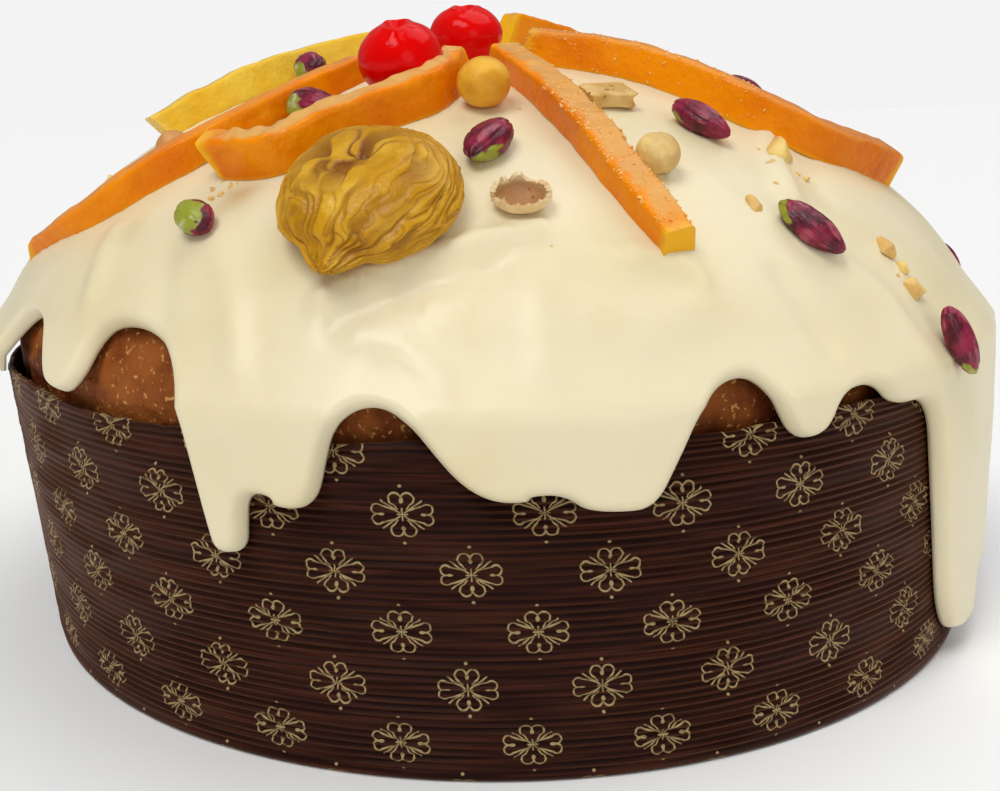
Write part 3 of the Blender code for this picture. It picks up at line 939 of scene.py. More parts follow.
@dataclass(frozen=True)
class PaperFinish(Finish):
    """Dark brown baking paper, printed with rows of small gold ornaments."""

    valley: Colour = (0.012, 0.0026, 0.0014)
    # Also the colour of the painted highlight on the rib crests
    crest: Colour = (0.050, 0.0125, 0.0066)
    gold: Colour = (0.36, 0.26, 0.12)
    # The colour of the painted sheen towards the sides
    sheen: Colour = (0.31, 0.130, 0.062)
    columns: int = 30
    first_azimuth: float = -99.9
    drift: float = 0.56
    row_step: float = 10.2
    first_row: float = 7.1
    crest_highlight_share: float = 0.45
    sheen_share: float = 0.55

    def dress(self, tree: Tree, shader: Node) -> None:
        """Brown streaked paper, gold print and a low gloss, with a painted highlight on the rib crests
        and a painted sheen where the paper turns away.

        Args:
            tree: The material's tree.
            shader: Its Principled shader.
        """
        place = tree.object_place()
        split = tree.add("ShaderNodeSeparateXYZ")
        tree.feed(split.inputs[0], place)
        x, y, z = split.outputs
        centred = tree.math("SUBTRACT", x, tree.math("MULTIPLY", z, LOAF.rim_shift / LOAF.case_height))
        azimuth = tree.math("ARCTAN2", y, centred)
        row = tree.math("SUBTRACT", tree.math("DIVIDE", z, self.row_step * MM),
                        self.first_row / self.row_step)
        row_number = tree.math("ROUND", row)
        up = tree.math("MULTIPLY", tree.math("SUBTRACT", row, row_number), self.row_step)
        half = tree.math("MULTIPLY", tree.math("FLOORED_MODULO", row_number, 2.0), 0.5)
        drift = tree.math("MULTIPLY", row_number, math.radians(self.drift))
        start = tree.math("ADD", drift, math.radians(self.first_azimuth))
        turn = tree.math("SUBTRACT", azimuth, start)
        column = tree.math("ADD", tree.math("MULTIPLY", turn, self.columns / math.tau), half)
        off = tree.math("SUBTRACT", column, tree.math("ROUND", column))
        pitch = math.tau * LOAF.case_radius(LOAF.case_height / 2) / self.columns / MM
        across = tree.math("MULTIPLY", off, pitch)
        clover = tree.group(self.effects.print, Across=across, Up=up).outputs["Mask"]
        worn = self.patches(tree, 900.0, 0.36, 0.56)
        printed = tree.math("MULTIPLY", clover, tree.step(worn, -0.6, 0.5))
        around = tree.add("ShaderNodeCombineXYZ")
        tree.feed(around.inputs[0], azimuth)
        tree.feed(around.inputs[2], tree.math("MULTIPLY", z, 300.0))
        streak = tree.noise(around.outputs[0], 4.0, 2.0)
        body = tree.mix(tree.step(streak, 0.42, 0.72), self.valley, self.crest)
        # Painted highlight: the pressed rib crests are lightened towards the crest colour
        rib = tree.attribute("crest")
        lit = tree.mix(tree.math("MULTIPLY", rib, self.crest_highlight_share), body, self.crest)
        # Painted sheen: a lighter, warmer brown where the paper turns away from the camera
        turned_away = tree.add("ShaderNodeLayerWeight")
        tree.fill(turned_away, Blend=0.35)
        sheen = tree.math("POWER", turned_away.outputs["Facing"], 2.0)
        soft = tree.mix(tree.math("MULTIPLY", sheen, self.sheen_share), lit, self.sheen)
        tree.fill(shader, Base_Color=tree.mix(printed, soft, self.gold))
        self.roughen(tree, shader, 1400.0, 0.00006)
        tree.fill(shader, Roughness=0.5, Specular_IOR_Level=0.06)


@dataclass(frozen=True)
class CrustFinish(Finish):
    """Baked crust: deep brown with lighter pores and specks."""

    dark: Colour = (0.115, 0.022, 0.004)
    brown: Colour = (0.30, 0.085, 0.016)
    speck: Colour = (0.52, 0.26, 0.075)

    def dress(self, tree: Tree, shader: Node) -> None:
        """Mottled browns, pale specks and a rough surface.

        Args:
            tree: The material's tree.
            shader: Its Principled shader.
        """
        patches = self.patches(tree, 110.0, 0.35, 0.68)
        body = tree.mix(patches, self.dark, self.brown)
        specks = self.patches(tree, 950.0, 0.60, 0.68)
        tree.fill(shader, Base_Color=tree.mix(specks, body, self.speck))
        self.roughen(tree, shader, 650.0, 0.0005)
        tree.fill(shader, Roughness=0.6, Specular_IOR_Level=0.1)


@dataclass(frozen=True)
class IcingFinish(Finish):
    """Poured white chocolate icing: ivory, dense, with a satin skin."""

    ivory: Colour = (0.815, 0.725, 0.490)
    cream: Colour = (0.785, 0.680, 0.415)
    syrup: Colour = (0.56, 0.38, 0.15)

    def dress(self, tree: Tree, shader: Node) -> None:
        """Ivory with faint creamier clouds and the syrup's stains.

        Args:
            tree: The material's tree.
            shader: Its Principled shader.
        """
        clouds = self.patches(tree, 38.0, 0.38, 0.75)
        body = tree.mix(clouds, self.ivory, self.cream)
        tree.fill(shader, Base_Color=tree.mix(tree.attribute("stain"), body, self.syrup))
        self.roughen(tree, shader, 90.0, 0.00035)
        tree.fill(shader, Roughness=0.36, Specular_IOR_Level=0.35, Subsurface_Weight=0.2,
                 Subsurface_Radius=(1.0, 0.75, 0.4), Subsurface_Scale=0.002)


@dataclass(frozen=True)
class PeelFinish(Finish):
    """Candied peel: glassy rind, paler pith and bright cut ends."""

    rind: Colour = (0.92, 0.285, 0.001)
    deep: Colour = (0.80, 0.185, 0.0005)
    light: Colour = (0.90, 0.44, 0.012)
    pith: Colour = (0.74, 0.41, 0.120)
    amber: Colour = (0.62, 0.130, 0.001)
    fleck_share: float = 0.16

    def dress(self, tree: Tree, shader: Node) -> None:
        """Rind shades by noise, pith and ends by the mesh's painted shares.

        Args:
            tree: The material's tree.
            shader: Its Principled shader.
        """
        patches = self.patches(tree, 70.0, 0.34, 0.66)
        body = tree.mix(patches, self.deep, self.rind)
        flecks = self.patches(tree, 420.0, 0.56, 0.72)
        darkened = tree.mix(tree.attribute("amber"), body, self.amber)
        flecked = tree.mix(tree.math("MULTIPLY", flecks, self.fleck_share), darkened, self.light)
        ended = tree.mix(tree.attribute("end"), flecked, self.light)
        tree.fill(shader, Base_Color=tree.mix(tree.attribute("pith"), ended, self.pith))
        self.roughen(tree, shader, 520.0, 0.00045)
        tree.fill(shader, Roughness=0.18, Specular_IOR_Level=0.12)


@dataclass(frozen=True)
class CherryFinish(Finish):
    """A candied cherry: clear bright red under a wet skin."""

    red: Colour = (0.76, 0.0005, 0.0005)
    sheen: Colour = (0.72, 0.006, 0.004)

    def dress(self, tree: Tree, shader: Node) -> None:
        """Red with faint paler clouds of painted sheen.

        Args:
            tree: The material's tree.
            shader: Its Principled shader.
        """
        clouds = self.patches(tree, 120.0, 0.45, 0.8)
        # Painted sheen in soft patches over the red
        tree.fill(shader, Base_Color=tree.mix(clouds, self.red, self.sheen))
        self.roughen(tree, shader, 260.0, 0.0003)
        tree.fill(shader, Roughness=0.06, Specular_IOR_Level=0.1)


@dataclass(frozen=True)
class FigFinish(Finish):
    """Dried fig skin: waxy gold, with painted shade down its creases and a darker brown eye."""

    gold: Colour = (0.58, 0.280, 0.006)
    pale: Colour = (0.74, 0.420, 0.030)
    crease_shade_and_dark_eye: Colour = (0.160, 0.036, 0.004)

    def dress(self, tree: Tree, shader: Node) -> None:
        """Gold with pale patches, darkened by painted shade in the creases and by the eye's darker
        brown.

        Args:
            tree: The material's tree.
            shader: Its Principled shader.
        """
        patches = self.patches(tree, 150.0, 0.4, 0.7)
        body = tree.mix(patches, self.gold, self.pale)
        # Painted shade in the creases, and the eye's own darker brown, from one painted mask
        tree.fill(shader, Base_Color=tree.mix(tree.attribute("crease_shade_and_dark_eye"), body, self.crease_shade_and_dark_eye))
        self.roughen(tree, shader, 900.0, 0.0003)
        tree.fill(shader, Roughness=0.24, Specular_IOR_Level=0.2)


@dataclass(frozen=True)
class PistachioFinish(Finish):
    """A pistachio kernel: purple-red skin, green where it has rubbed off."""

    skin: Colour = (0.27, 0.010, 0.045)
    dark: Colour = (0.075, 0.002, 0.012)
    # The colour of the painted highlight along the ridges
    ridge_highlight: Colour = (0.50, 0.11, 0.15)
    green: Colour = (0.30, 0.33, 0.025)
    pale: Colour = (0.66, 0.62, 0.40)

    def dress(self, tree: Tree, shader: Node) -> None:
        """Skin, a painted highlight along its ridges, and the bare kernel by painted shares.

        Args:
            tree: The material's tree.
            shader: Its Principled shader.
        """
        patches = self.patches(tree, 260.0, 0.36, 0.62)
        skin = tree.mix(patches, self.dark, self.skin)
        # Painted highlight: the raised ridges are lightened towards a pink
        skin_with_ridge_highlight = tree.mix(tree.attribute("ridge"), skin, self.ridge_highlight)
        bare = self.patches(tree, 330.0, 0.52, 0.72)
        kernel = tree.mix(bare, self.green, self.pale)
        tree.fill(shader, Base_Color=tree.mix(tree.attribute("bare"), skin_with_ridge_highlight, kernel))
        self.roughen(tree, shader, 700.0, 0.00025)
        tree.fill(shader, Roughness=0.34, Specular_IOR_Level=0.35)


@dataclass(frozen=True)
class NutFinish(Finish):
    """Roasted nut flesh, with brown where its skin stays on."""

    flesh: Colour = (0.86, 0.46, 0.042)
    shade: Colour = (0.70, 0.30, 0.018)
    skin: Colour = (0.22, 0.070, 0.014)
    skin_low: float = 0.74
    skin_fade: float = 0.05
    gloss: float = 0.4

    def dress(self, tree: Tree, shader: Node) -> None:
        """Mottled flesh, spots of skin and fine grain.

        Args:
            tree: The material's tree.
            shader: Its Principled shader.
        """
        patches = self.patches(tree, 190.0, 0.35, 0.7)
        body = tree.mix(patches, self.shade, self.flesh)
        spots = self.patches(tree, 520.0, self.skin_low, self.skin_low + self.skin_fade)
        spotted = tree.mix(spots, body, self.skin)
        tree.fill(shader, Base_Color=tree.mix(tree.attribute("hollow"), spotted, self.skin))
        self.roughen(tree, shader, 800.0, 0.0002)
        tree.fill(shader, Roughness=self.gloss, Specular_IOR_Level=0.2)


@dataclass(frozen=True)
class SugarFinish(Finish):
    """Sugar grains that take the colour of the syrup they stick in."""

    clear: Colour = (0.90, 0.50, 0.14)
    amber: Colour = (0.86, 0.36, 0.03)

    def dress(self, tree: Tree, shader: Node) -> None:
        """Clear and amber grains.

        Args:
            tree: The material's tree.
            shader: Its Principled shader.
        """
        patches = self.patches(tree, 400.0, 0.4, 0.6)
        tree.fill(shader, Base_Color=tree.mix(patches, self.amber, self.clear))
        tree.fill(shader, Roughness=0.12, Specular_IOR_Level=0.5)


# The case and the crust


@dataclass
class PaperCase:
    """The pressed paper mould: a cup with level ribs pressed into its wall."""

    columns: int = 288
    ribs: int = 44
    points_per_rib: int = 4
    rib_depth: float = 0.00028
    fold: float = 0.0008
    rim_wave: float = 0.0004
    rim_nick: float = 0.00035
    rim_reach: float = 0.004
    foot_bend: float = 0.06
    unevenness: float = 0.00035
    kept_edge: float = 50

    def profile(self) -> list[tuple[float, float]]:
        """The cup's section from the middle of its foot to the middle inside.

        Returns:
            Points of (radius, height), from axis to axis.
        """
        loaf = LOAF
        wall = loaf.case_height - self.fold
        outer = [(0.0, 0.0), (self.foot_bend, 0.0), (loaf.base_radius - self.fold, 0.0)]
        count = self.ribs * self.points_per_rib
        for step in range(count + 1):
            height = self.fold + wall * step / count
            outer.append((loaf.case_radius(height), height))
        inner = [(loaf.case_radius(h) - loaf.paper, h)
                 for h in (loaf.case_height, 0.0585, 0.057, 0.05, 0.03, 0.01, loaf.paper * 2)]
        return [*outer, *inner, (self.foot_bend, loaf.paper), (0.0, loaf.paper)]

    def model(self) -> Object:
        """Turns the cup, then presses its ribs and ripples its rim.

        Returns:
            The finished case.
        """
        case = turned("pressed_case", self.profile(), self.columns)
        points = positions(case)
        loaf = LOAF
        radius = np.hypot(points[:, 0], points[:, 1])
        turn = np.arctan2(points[:, 1], points[:, 0])
        height = points[:, 2].copy()
        wall = np.array([loaf.case_radius(h) for h in height])
        outside = (radius > wall - 0.4 * loaf.paper) & (height > self.fold * 0.9)
        drift = wobble(np.column_stack([np.cos(turn), np.sin(turn), height * 8]) * 3, 1.0, 5)
        phase = (height / (loaf.case_height - self.fold) * self.ribs) * math.tau + 0.9 * drift
        uneven = 0.75 + 0.35 * wobble(np.column_stack([turn * 9, height * 400, turn * 0]), 1.0, 9)
        edge = ramped(height, self.fold, 3 * self.fold)
        rib = np.cos(phase) * uneven * edge * outside
        scale = 1 + rib * self.rib_depth / np.maximum(radius, 0.01)
        slow = wobble(np.column_stack([np.cos(turn), np.sin(turn), height * 6]), 0.35, 2)
        scale += self.unevenness * slow * edge / np.maximum(radius, 0.01)
        points[:, 0] *= scale
        points[:, 1] *= scale
        rim = ramped(height, loaf.case_height - self.rim_reach, loaf.case_height)
        wave = np.sin(7 * turn) + np.sin(12 * turn + 1.0) - 1.0
        nick = wobble(np.column_stack([np.cos(turn), np.sin(turn), 0 * turn]) * 40, 1.0, 3)
        points[:, 2] += rim * (self.rim_wave * wave + self.rim_nick * nick)
        points[:, 0] += loaf.centre_x(height)
        set_positions(case, points)
        # The rib crests' mask, used by the paper's finish for a painted highlight
        paint(case, "crest", np.clip(rib, 0, 1))
        shade(case, self.kept_edge)
        return case

    def build(self, effects: SharedEffects) -> None:
        """Makes the case and hands it over.

        Args:
            effects: The effects that the finishes share.
        """
        present(self.model(), PaperFinish("ribbed_paper", effects).make(), Slot.PAPER, "paper_case")


@dataclass
class Crust:
    """The baked loaf, which shows between the paper's rim and the icing's drips."""

    columns: int = 320
    skin: float = 0.0036
    side_gap: float = 0.0012
    relief: float = 0.00055

    def profile(self) -> list[tuple[float, float]]:
        """The loaf's section from the middle of its foot to its top.

        Returns:
            Points of (radius, height), from axis to axis.
        """
        loaf = LOAF
        low = loaf.paper + 0.0003
        points = [(0.0, low), (loaf.base_radius - self.side_gap - 0.001, low)]
        points += [(loaf.case_radius(h) - self.side_gap, h) for h in (0.004, 0.03, 0.05)]
        points += [(loaf.case_radius(h) - self.side_gap - 0.0009, h) for h in (0.0535, 0.055)]
        for height in np.arange(0.0565, 0.084, 0.0008):
            near = ramped(np.array([height]), 0.067, 0.056)[0]
            narrow = loaf.case_radius(0.055) - self.side_gap - 0.0009
            dome = loaf.radius_at(height, self.skin)
            points.append((min(dome - 0.0010 * near, narrow), height))
        for height in np.linspace(0.085, loaf.height_at(0.004, self.skin), 14):
            points.append((loaf.radius_at(float(height), self.skin), float(height)))
        points.append((0.0, loaf.height_at(0.0, self.skin)))
        return points

    def model(self) -> Object:
        """Turns the loaf and roughens it.

        Returns:
            The finished crust.
        """
        crust = turned("baked_crust", self.profile(), self.columns)
        points = positions(crust)
        points[:, 0] += LOAF.centre_x(points[:, 2])
        shown = ramped(points[:, 2], 0.053, 0.058)
        relief = wobble(points, 0.012, 1) * 0.7 + wobble(points, 0.004, 2) * 0.5
        relief += wobble(points, 0.0018, 3) * 0.35
        pores = ramped(wobble(points, 0.0026, 4), 0.35, 0.8)
        lift = self.relief * (relief - 1.1 * pores - 0.6) * shown
        set_positions(crust, points + normals(crust) * lift[:, None])
        shade(crust)
        return crust

    def build(self, effects: SharedEffects) -> None:
        """Makes the crust and hands it over.

        Args:
            effects: The effects that the finishes share.
        """
        present(self.model(), CrustFinish("baked_crust", effects).make(), Slot.CRUST, "dough")


# The icing


@dataclass(frozen=True)
class Fold:
    """A soft ridge, or a groove where its lift is below 0, along places on the icing.

    Places are (azimuth in degrees, radius in mm) and the rest is in mm."""

    way: tuple[tuple[float, float], ...]
    lift: float
    width: float


@dataclass
class Icing:
    """The poured icing: a skin over the dome whose edge runs down in drips."""

    skin: float = 0.003
    drip_extra: float = 0.0009
    lip: float = 0.0024
    lip_least: float = 0.22
    drip_gap: float = 0.0008
    turn_top: float = 0.0715
    turn_foot: float = 0.0636
    top_ring: float = 0.081
    columns: int = 1200
    flank_bend: float = 1.3
    most_bend: float = 0.48
    bend_weight: float = 0.012
    least_column: float = 0.0002
    lip_shares: tuple[float, ...] = (0.0, 0.08, 0.2, 0.4)
    low_rings: int = 13
    crowding: float = 1.5
    high_rings: int = 10
    least_face: float = 3e-9
    spreading_rounds: int = 400
    evening_rounds: int = 1500
    bend_room: float = 0.0016
    sag_from: float = 0.072
    sag_over: float = 0.025
    flow_relief: float = 0.00055
    fine_relief: float = 0.00020
    topping_rise: float = 0.0007
    topping_reach: float = 0.0026
    edge_overlap: int = 80
    batches: int = 100
    settling_rounds: int = 3
    tested_every: int = 9
    ring_step: float = 0.0017
    # Each tip and valley of the edge: azimuth, height in mm, and how far the
    # corner that rounds into the flank lies to either side, in degrees
    drip_edge: tuple[tuple[float, float, float, float], ...] = (
        (-156.0, 59.0, 4.0, 3.0), (-144.0, 72.2, 3.0, 2.6), (-132.8, 62.6, 1.9, 2.2),
        (-125.8, 74.0, 4.2, 8.0), (-113.6, 39.8, 1.3, 1.5), (-109.7, 50.6, 1.5, 1.2),
        (-106.9, 48.7, 1.6, 2.0), (-99.2, 65.2, 2.9, 2.2), (-88.3, 50.4, 3.0, 1.4),
        (-85.6, 51.4, 1.3, 1.5), (-78.4, 48.0, 3.6, 1.9), (-67.8, 66.9, 3.4, 1.6),
        (-61.7, 56.4, 1.6, 1.7), (-55.2, 63.2, 2.6, 1.8), (-47.6, 58.2, 3.0, 3.6),
        (-31.2, 4.9, 6.4, 3.0),
        (-26.4, 15.0, 1.6, 1.6), (-20.5, 12.0, 2.2, 2.4),
        (-9.0, 57.0, 5.0, 3.0), (1.0, 40.0, 3.0, 2.0), (9.0, 60.0, 3.0, 3.0),
        (19.0, 47.0, 3.5, 2.5), (29.0, 65.0, 3.0, 3.4), (41.0, 26.0, 2.0, 1.8),
        (47.0, 43.0, 1.8, 1.8), (53.0, 38.0, 2.2, 2.8), (64.0, 66.0, 4.0, 3.5),
        (75.0, 53.0, 3.0, 2.5), (84.0, 61.0, 2.5, 2.5), (95.0, 30.0, 2.4, 2.2),
        (105.0, 58.0, 3.4, 3.0), (116.0, 46.0, 3.0, 3.0), (127.0, 68.0, 3.0, 3.0),
        (139.0, 36.0, 2.4, 2.2), (150.0, 59.0, 3.6, 3.0), (161.0, 44.0, 3.0, 3.0),
        (172.0, 69.0, 3.0, 4.0), (184.0, 60.0, 4.0, 3.0), (192.0, 63.5, 3.0, 3.0),
    )
    folds: tuple[Fold, ...] = (
        Fold(((-104.5, 99.0), (-100.8, 97.0), (-97.5, 95.4), (-90.7, 92.0), (-83.4, 90.2)), 1.76, 1.7),
        Fold(((-103.0, 102.0), (-99.0, 99.9), (-94.5, 97.6), (-88.0, 95.4)), -1.28, 1.7),
        Fold(((-97.1, 99.7), (-95.3, 100.2)), -0.64, 0.8),
        Fold(((-77.6, 91.8), (-75.6, 92.6)), -0.88, 1.3),
        Fold(((-75.0, 94.4), (-72.0, 95.6), (-69.0, 98.5)), 0.88, 2.0),
        Fold(((-99.2, 106.4), (-97.4, 107.4), (-95.4, 109.4)), -0.80, 1.4),
        Fold(((-100.6, 103.2), (-97.0, 103.8), (-93.5, 106.6), (-91.5, 109.4)), 0.80, 1.9),
        Fold(((-12.0, 58.0), (-35.6, 68.9), (-45.8, 79.3), (-50.4, 87.4)), 1.44, 2.2),
        Fold(((-20.0, 70.0), (-36.0, 78.0), (-44.0, 87.0)), -0.80, 3.4),
        Fold(((-80.0, 101.5), (-76.0, 103.5), (-70.0, 101.5)), 0.80, 3.8),
        Fold(((-84.0, 98.0), (-84.5, 105.0)), 0.64, 3.4),
        Fold(((-118.0, 92.0), (-114.0, 99.0), (-111.5, 106.0)), 0.80, 2.9),
        Fold(((-124.0, 94.0), (-121.0, 103.0)), -0.64, 2.9),
        Fold(((-136.5, 92.0), (-132.5, 101.0)), 0.96, 2.7),
        Fold(((-52.0, 96.0), (-47.0, 103.0), (-44.0, 109.0)), 1.12, 2.9),
        Fold(((-60.0, 99.0), (-58.0, 106.0)), -0.80, 2.5),
        Fold(((30.0, 70.0), (48.0, 84.0), (52.0, 98.0)), 1.44, 3.1),
        Fold(((70.0, 96.0), (90.0, 88.0), (108.0, 92.0)), 1.28, 2.9),
        Fold(((150.0, 84.0), (163.0, 92.0), (170.0, 102.0)), 1.44, 3.1),
        Fold(((10.0, 92.0), (20.0, 100.0)), -0.96, 3.1),
    )
    # Syrup stains: azimuth, radius in mm, size in mm and strength
    stains: tuple[tuple[float, float, float, float], ...] = (
        (-119.5, 83.0, 3.2, 0.75), (-133.2, 91.6, 3.4, 0.30), (-136.5, 93.0, 2.4, 0.22),
        (-102.9, 97.0, 1.5, 0.45), (-95.5, 100.0, 1.8, 0.10), (70.0, 84.0, 3.0, 0.30),
    )

    def sheet(self) -> tuple[Rows, Rows]:
        """The inner face unrolled: (radius, height) points from the pole down the
        dome, over the paper's edge and down its wall, and the way to each.

        Returns:
            The points, and how far along the sheet each one is.
        """
        loaf = LOAF
        turns = np.linspace(0, math.pi / 2, 200)[:-1]
        points = [(0.0, loaf.height_at(0.0, self.skin))]
        for turn in turns[::-1]:
            height = loaf.spring + (loaf.rise - self.skin) * math.sin(turn)
            if height > self.turn_top:
                points.append((loaf.radius_at(height, self.skin), height))
        for height in np.linspace(self.turn_foot, 0.002, 24):
            wall = loaf.case_radius(min(float(height), loaf.case_height)) + self.drip_gap
            points.append((wall, float(height)))
        line = np.array(points)
        steps = np.linalg.norm(np.diff(line, axis=0), axis=1)
        return line, np.concatenate([[0.0], np.cumsum(steps)])

    def __post_init__(self) -> None:
        """Unrolls the sheet."""
        self.line, self.ways = self.sheet()
        self.surface: BVHTree | None = None

    def way(self, height: Rows) -> Rows:
        """The way from the pole to a height."""
        return np.interp(-np.asarray(height), -self.line[:, 1], self.ways)

    def on_sheet(self, azimuth: Rows, way: Rows) -> Rows:
        """The points of the sheet at azimuths in radians and ways.

        Args:
            azimuth: Azimuths in radians.
            way: Ways from the pole, alike.

        Returns:
            Rows of three coordinates.
        """
        radius = np.interp(way, self.ways, self.line[:, 0])
        height = np.interp(way, self.ways, self.line[:, 1])
        x = LOAF.centre_x(height) + radius * np.cos(azimuth)
        return np.column_stack([x, radius * np.sin(azimuth), height])

    @staticmethod
    def corner(start: Rows, bend: Rows, end: Rows) -> Iterator[Rows]:
        """Points of a smooth bend from start to end, without end."""
        for t in np.arange(0, 1, 1 / 16):
            yield (1 - t) ** 2 * start + 2 * t * (1 - t) * bend + t * t * end

    def flank(self, tip: Rows, first: Rows, last: Rows,
              valley: Rows) -> Iterator[Rows]:
        """One side of a drip: level, round a corner, straight, round a corner.

        Args:
            tip: Where the flank starts.
            first: Its first corner.
            last: Its last corner.
            valley: Where it ends.

        Yields:
            Points along it.
        """
        run = last - first
        length = np.linalg.norm(run)
        bends = [min(self.flank_bend * np.linalg.norm(side) / length, self.most_bend)
                 for side in (first - tip, last - valley)]
        leave = first + run * bends[0]
        meet = last - run * bends[1]
        yield from self.corner(tip, first, leave)
        yield from (leave + (meet - leave) * t for t in np.arange(0, 1, 1 / 12))
        yield from self.corner(meet, last, valley)

    def outline(self) -> Rows:
        """The edge as (way along the rim, way) points, closer where it curves.

        Returns:
            One row for each column of the icing.
        """
        dense: list[Rows] = []
        ends = [*self.drip_edge, (self.drip_edge[0][0] + 360.0, *self.drip_edge[0][1:])]
        for (az_a, z_a, _, out_a), (az_b, z_b, in_b, _) in zip(ends, ends[1:]):
            corners = np.array([(az_a, z_a), (az_a + out_a, z_a), (az_b - in_b, z_b), (az_b, z_b)])
            corners[:, 0] = np.radians(corners[:, 0]) * LOAF.rim_radius
            corners[:, 1] *= MM
            dense.extend(self.flank(*corners))
        around, height = np.array(dense).T
        line = np.column_stack([around, self.way(height)])
        ring = np.vstack([line[-1] - self.turn, line, line[0] + self.turn])
        steps = np.diff(ring, axis=0)
        lengths = np.linalg.norm(steps, axis=1)
        bend = np.abs(np.diff(np.unwrap(np.arctan2(steps[:, 1], steps[:, 0]))))
        demand = np.concatenate([[0.0], np.cumsum(lengths[1:] + self.bend_weight * bend)])
        wanted = np.linspace(0, demand[-1], self.columns, endpoint=False)
        closed = np.vstack([line, line[0] + self.turn])
        return np.column_stack([np.interp(wanted, demand, closed[:, i]) for i in (0, 1)])

    @property
    def turn(self) -> Rows:
        """One whole turn along the rim, unrolled."""
        return np.array([math.tau * LOAF.rim_radius, 0.0])

    def inset(self, line: Rows, distance: float) -> Rows:
        """A closed unrolled outline moved up, into the icing, by a distance.

        Args:
            line: The outline's points.
            distance: How far it is moved.

        Returns:
            The moved points.
        """
        before = np.vstack([line[-1] - self.turn, line[:-1]])
        after = np.vstack([line[1:], line[0] + self.turn])
        along = after - before
        along /= np.linalg.norm(along, axis=1)[:, None]
        return line + distance * np.column_stack([along[:, 1], -along[:, 0]])

    def rings(self) -> tuple[Rows, Rows, Rows]:
        """Rings from the edge up to a level ring on the dome, as rows of equal count.

        Returns:
            Their azimuths, their ways from the pole and their ways from the edge.
        """
        outline = self.outline()
        lines = [self.inset(outline, share * self.lip) for share in self.lip_shares]
        around = [line[:, 0] for line in lines]
        way = [line[:, 1] for line in lines]
        spread = self.least_column * np.arange(self.columns)
        az = np.maximum.accumulate(around[-1] / LOAF.rim_radius - spread) + spread
        even = az.copy()
        for _ in range(self.evening_rounds):
            before = np.concatenate([[even[-1] - math.tau], even[:-1]])
            after = np.concatenate([even[1:], [even[0] + math.tau]])
            even = (before + 2 * even + after) / 4
        low = way[-1]
        top = np.full(self.columns, float(self.way(self.top_ring)))
        bend = np.minimum(float(self.way(self.turn_foot)), low - self.bend_room)
        for share in np.linspace(0, 1, self.low_rings + 1)[1:] ** self.crowding:
            around.append(az * LOAF.rim_radius)
            way.append(low + (bend - low) * share)
        for share in np.linspace(0, 1, self.high_rings + 1)[1:]:
            around.append((az + (even - az) * share) * LOAF.rim_radius)
            way.append(bend + (top - bend) * share)
        spread_around, spread_way = self.spread_out(np.array(around), np.array(way))
        from_edge = self.from_edge(spread_around, spread_way, outline)
        return spread_around / LOAF.rim_radius, spread_way, from_edge

    def spread_out(self, around: Rows, way: Rows) -> tuple[Rows, Rows]:
        """Moves the rings' points apart wherever a face between them would fold over.

        Args:
            around: Ways along the rim, one row for each ring.
            way: Ways from the pole, alike.

        Returns:
            Both, moved; the first and the last ring stay.
        """
        turn = self.turn[0]
        for _ in range(self.spreading_rounds):
            right_around = np.column_stack([around[:, 1:], around[:, :1] + turn])
            right_way = np.roll(way, -1, axis=1)
            a = np.stack([around[:-1], -way[:-1]])
            b = np.stack([right_around[:-1], -right_way[:-1]])
            c = np.stack([right_around[1:], -right_way[1:]])
            d = np.stack([around[1:], -way[1:]])
            least = np.full(a.shape[1:], np.inf)
            for p, q, r in ((a, b, c), (a, c, d), (a, b, d), (b, c, d)):
                one, two = q - p, r - p
                least = np.minimum(least, one[0] * two[1] - one[1] * two[0])
            folded = least < self.least_face
            if not folded.any():
                break
            moved = np.zeros(way.shape, bool)
            for rows in (slice(None, -1), slice(1, None)):
                moved[rows] |= folded | np.roll(folded, 1, axis=1)
            moved[[0, -1]] = False
            left_around = np.column_stack([around[:, -1:] - turn, around[:, :-1]])
            left_way = np.roll(way, 1, axis=1)
            mean_around = (left_around + right_around) / 4
            mean_way = (left_way + right_way) / 4
            mean_around[1:-1] += (around[:-2] + around[2:]) / 4
            mean_way[1:-1] += (way[:-2] + way[2:]) / 4
            around = np.where(moved, (around + mean_around) / 2, around)
            way = np.where(moved, (way + mean_way) / 2, way)
        log.info("icing: %d folded faces left", int(folded.sum()))
        return around, way

    def from_edge(self, around: Rows, way: Rows, outline: Rows) -> Rows:
        """How far places of the unrolled sheet are from its edge.

        Args:
            around: Ways along the rim.
            way: Ways from the pole, alike.
            outline: The edge's points.

        Returns:
            The distances, in the rows of the places.
        """
        reach = self.edge_overlap
        edge = np.vstack([outline[-reach:] - self.turn, outline, outline[:reach] + self.turn])
        start, run = edge[:-1], np.diff(edge, axis=0)
        square = np.sum(run**2, axis=1)
        places = np.column_stack([around.ravel(), way.ravel()])
        nearest = []
        for part in np.array_split(places, self.batches):
            off = part[:, None] - start
            share = np.clip(np.sum(off * run, axis=2) / square, 0.0, 1.0)
            nearest.append(np.linalg.norm(off - share[..., None] * run, axis=2).min(axis=1))
        return np.concatenate(nearest).reshape(around.shape)

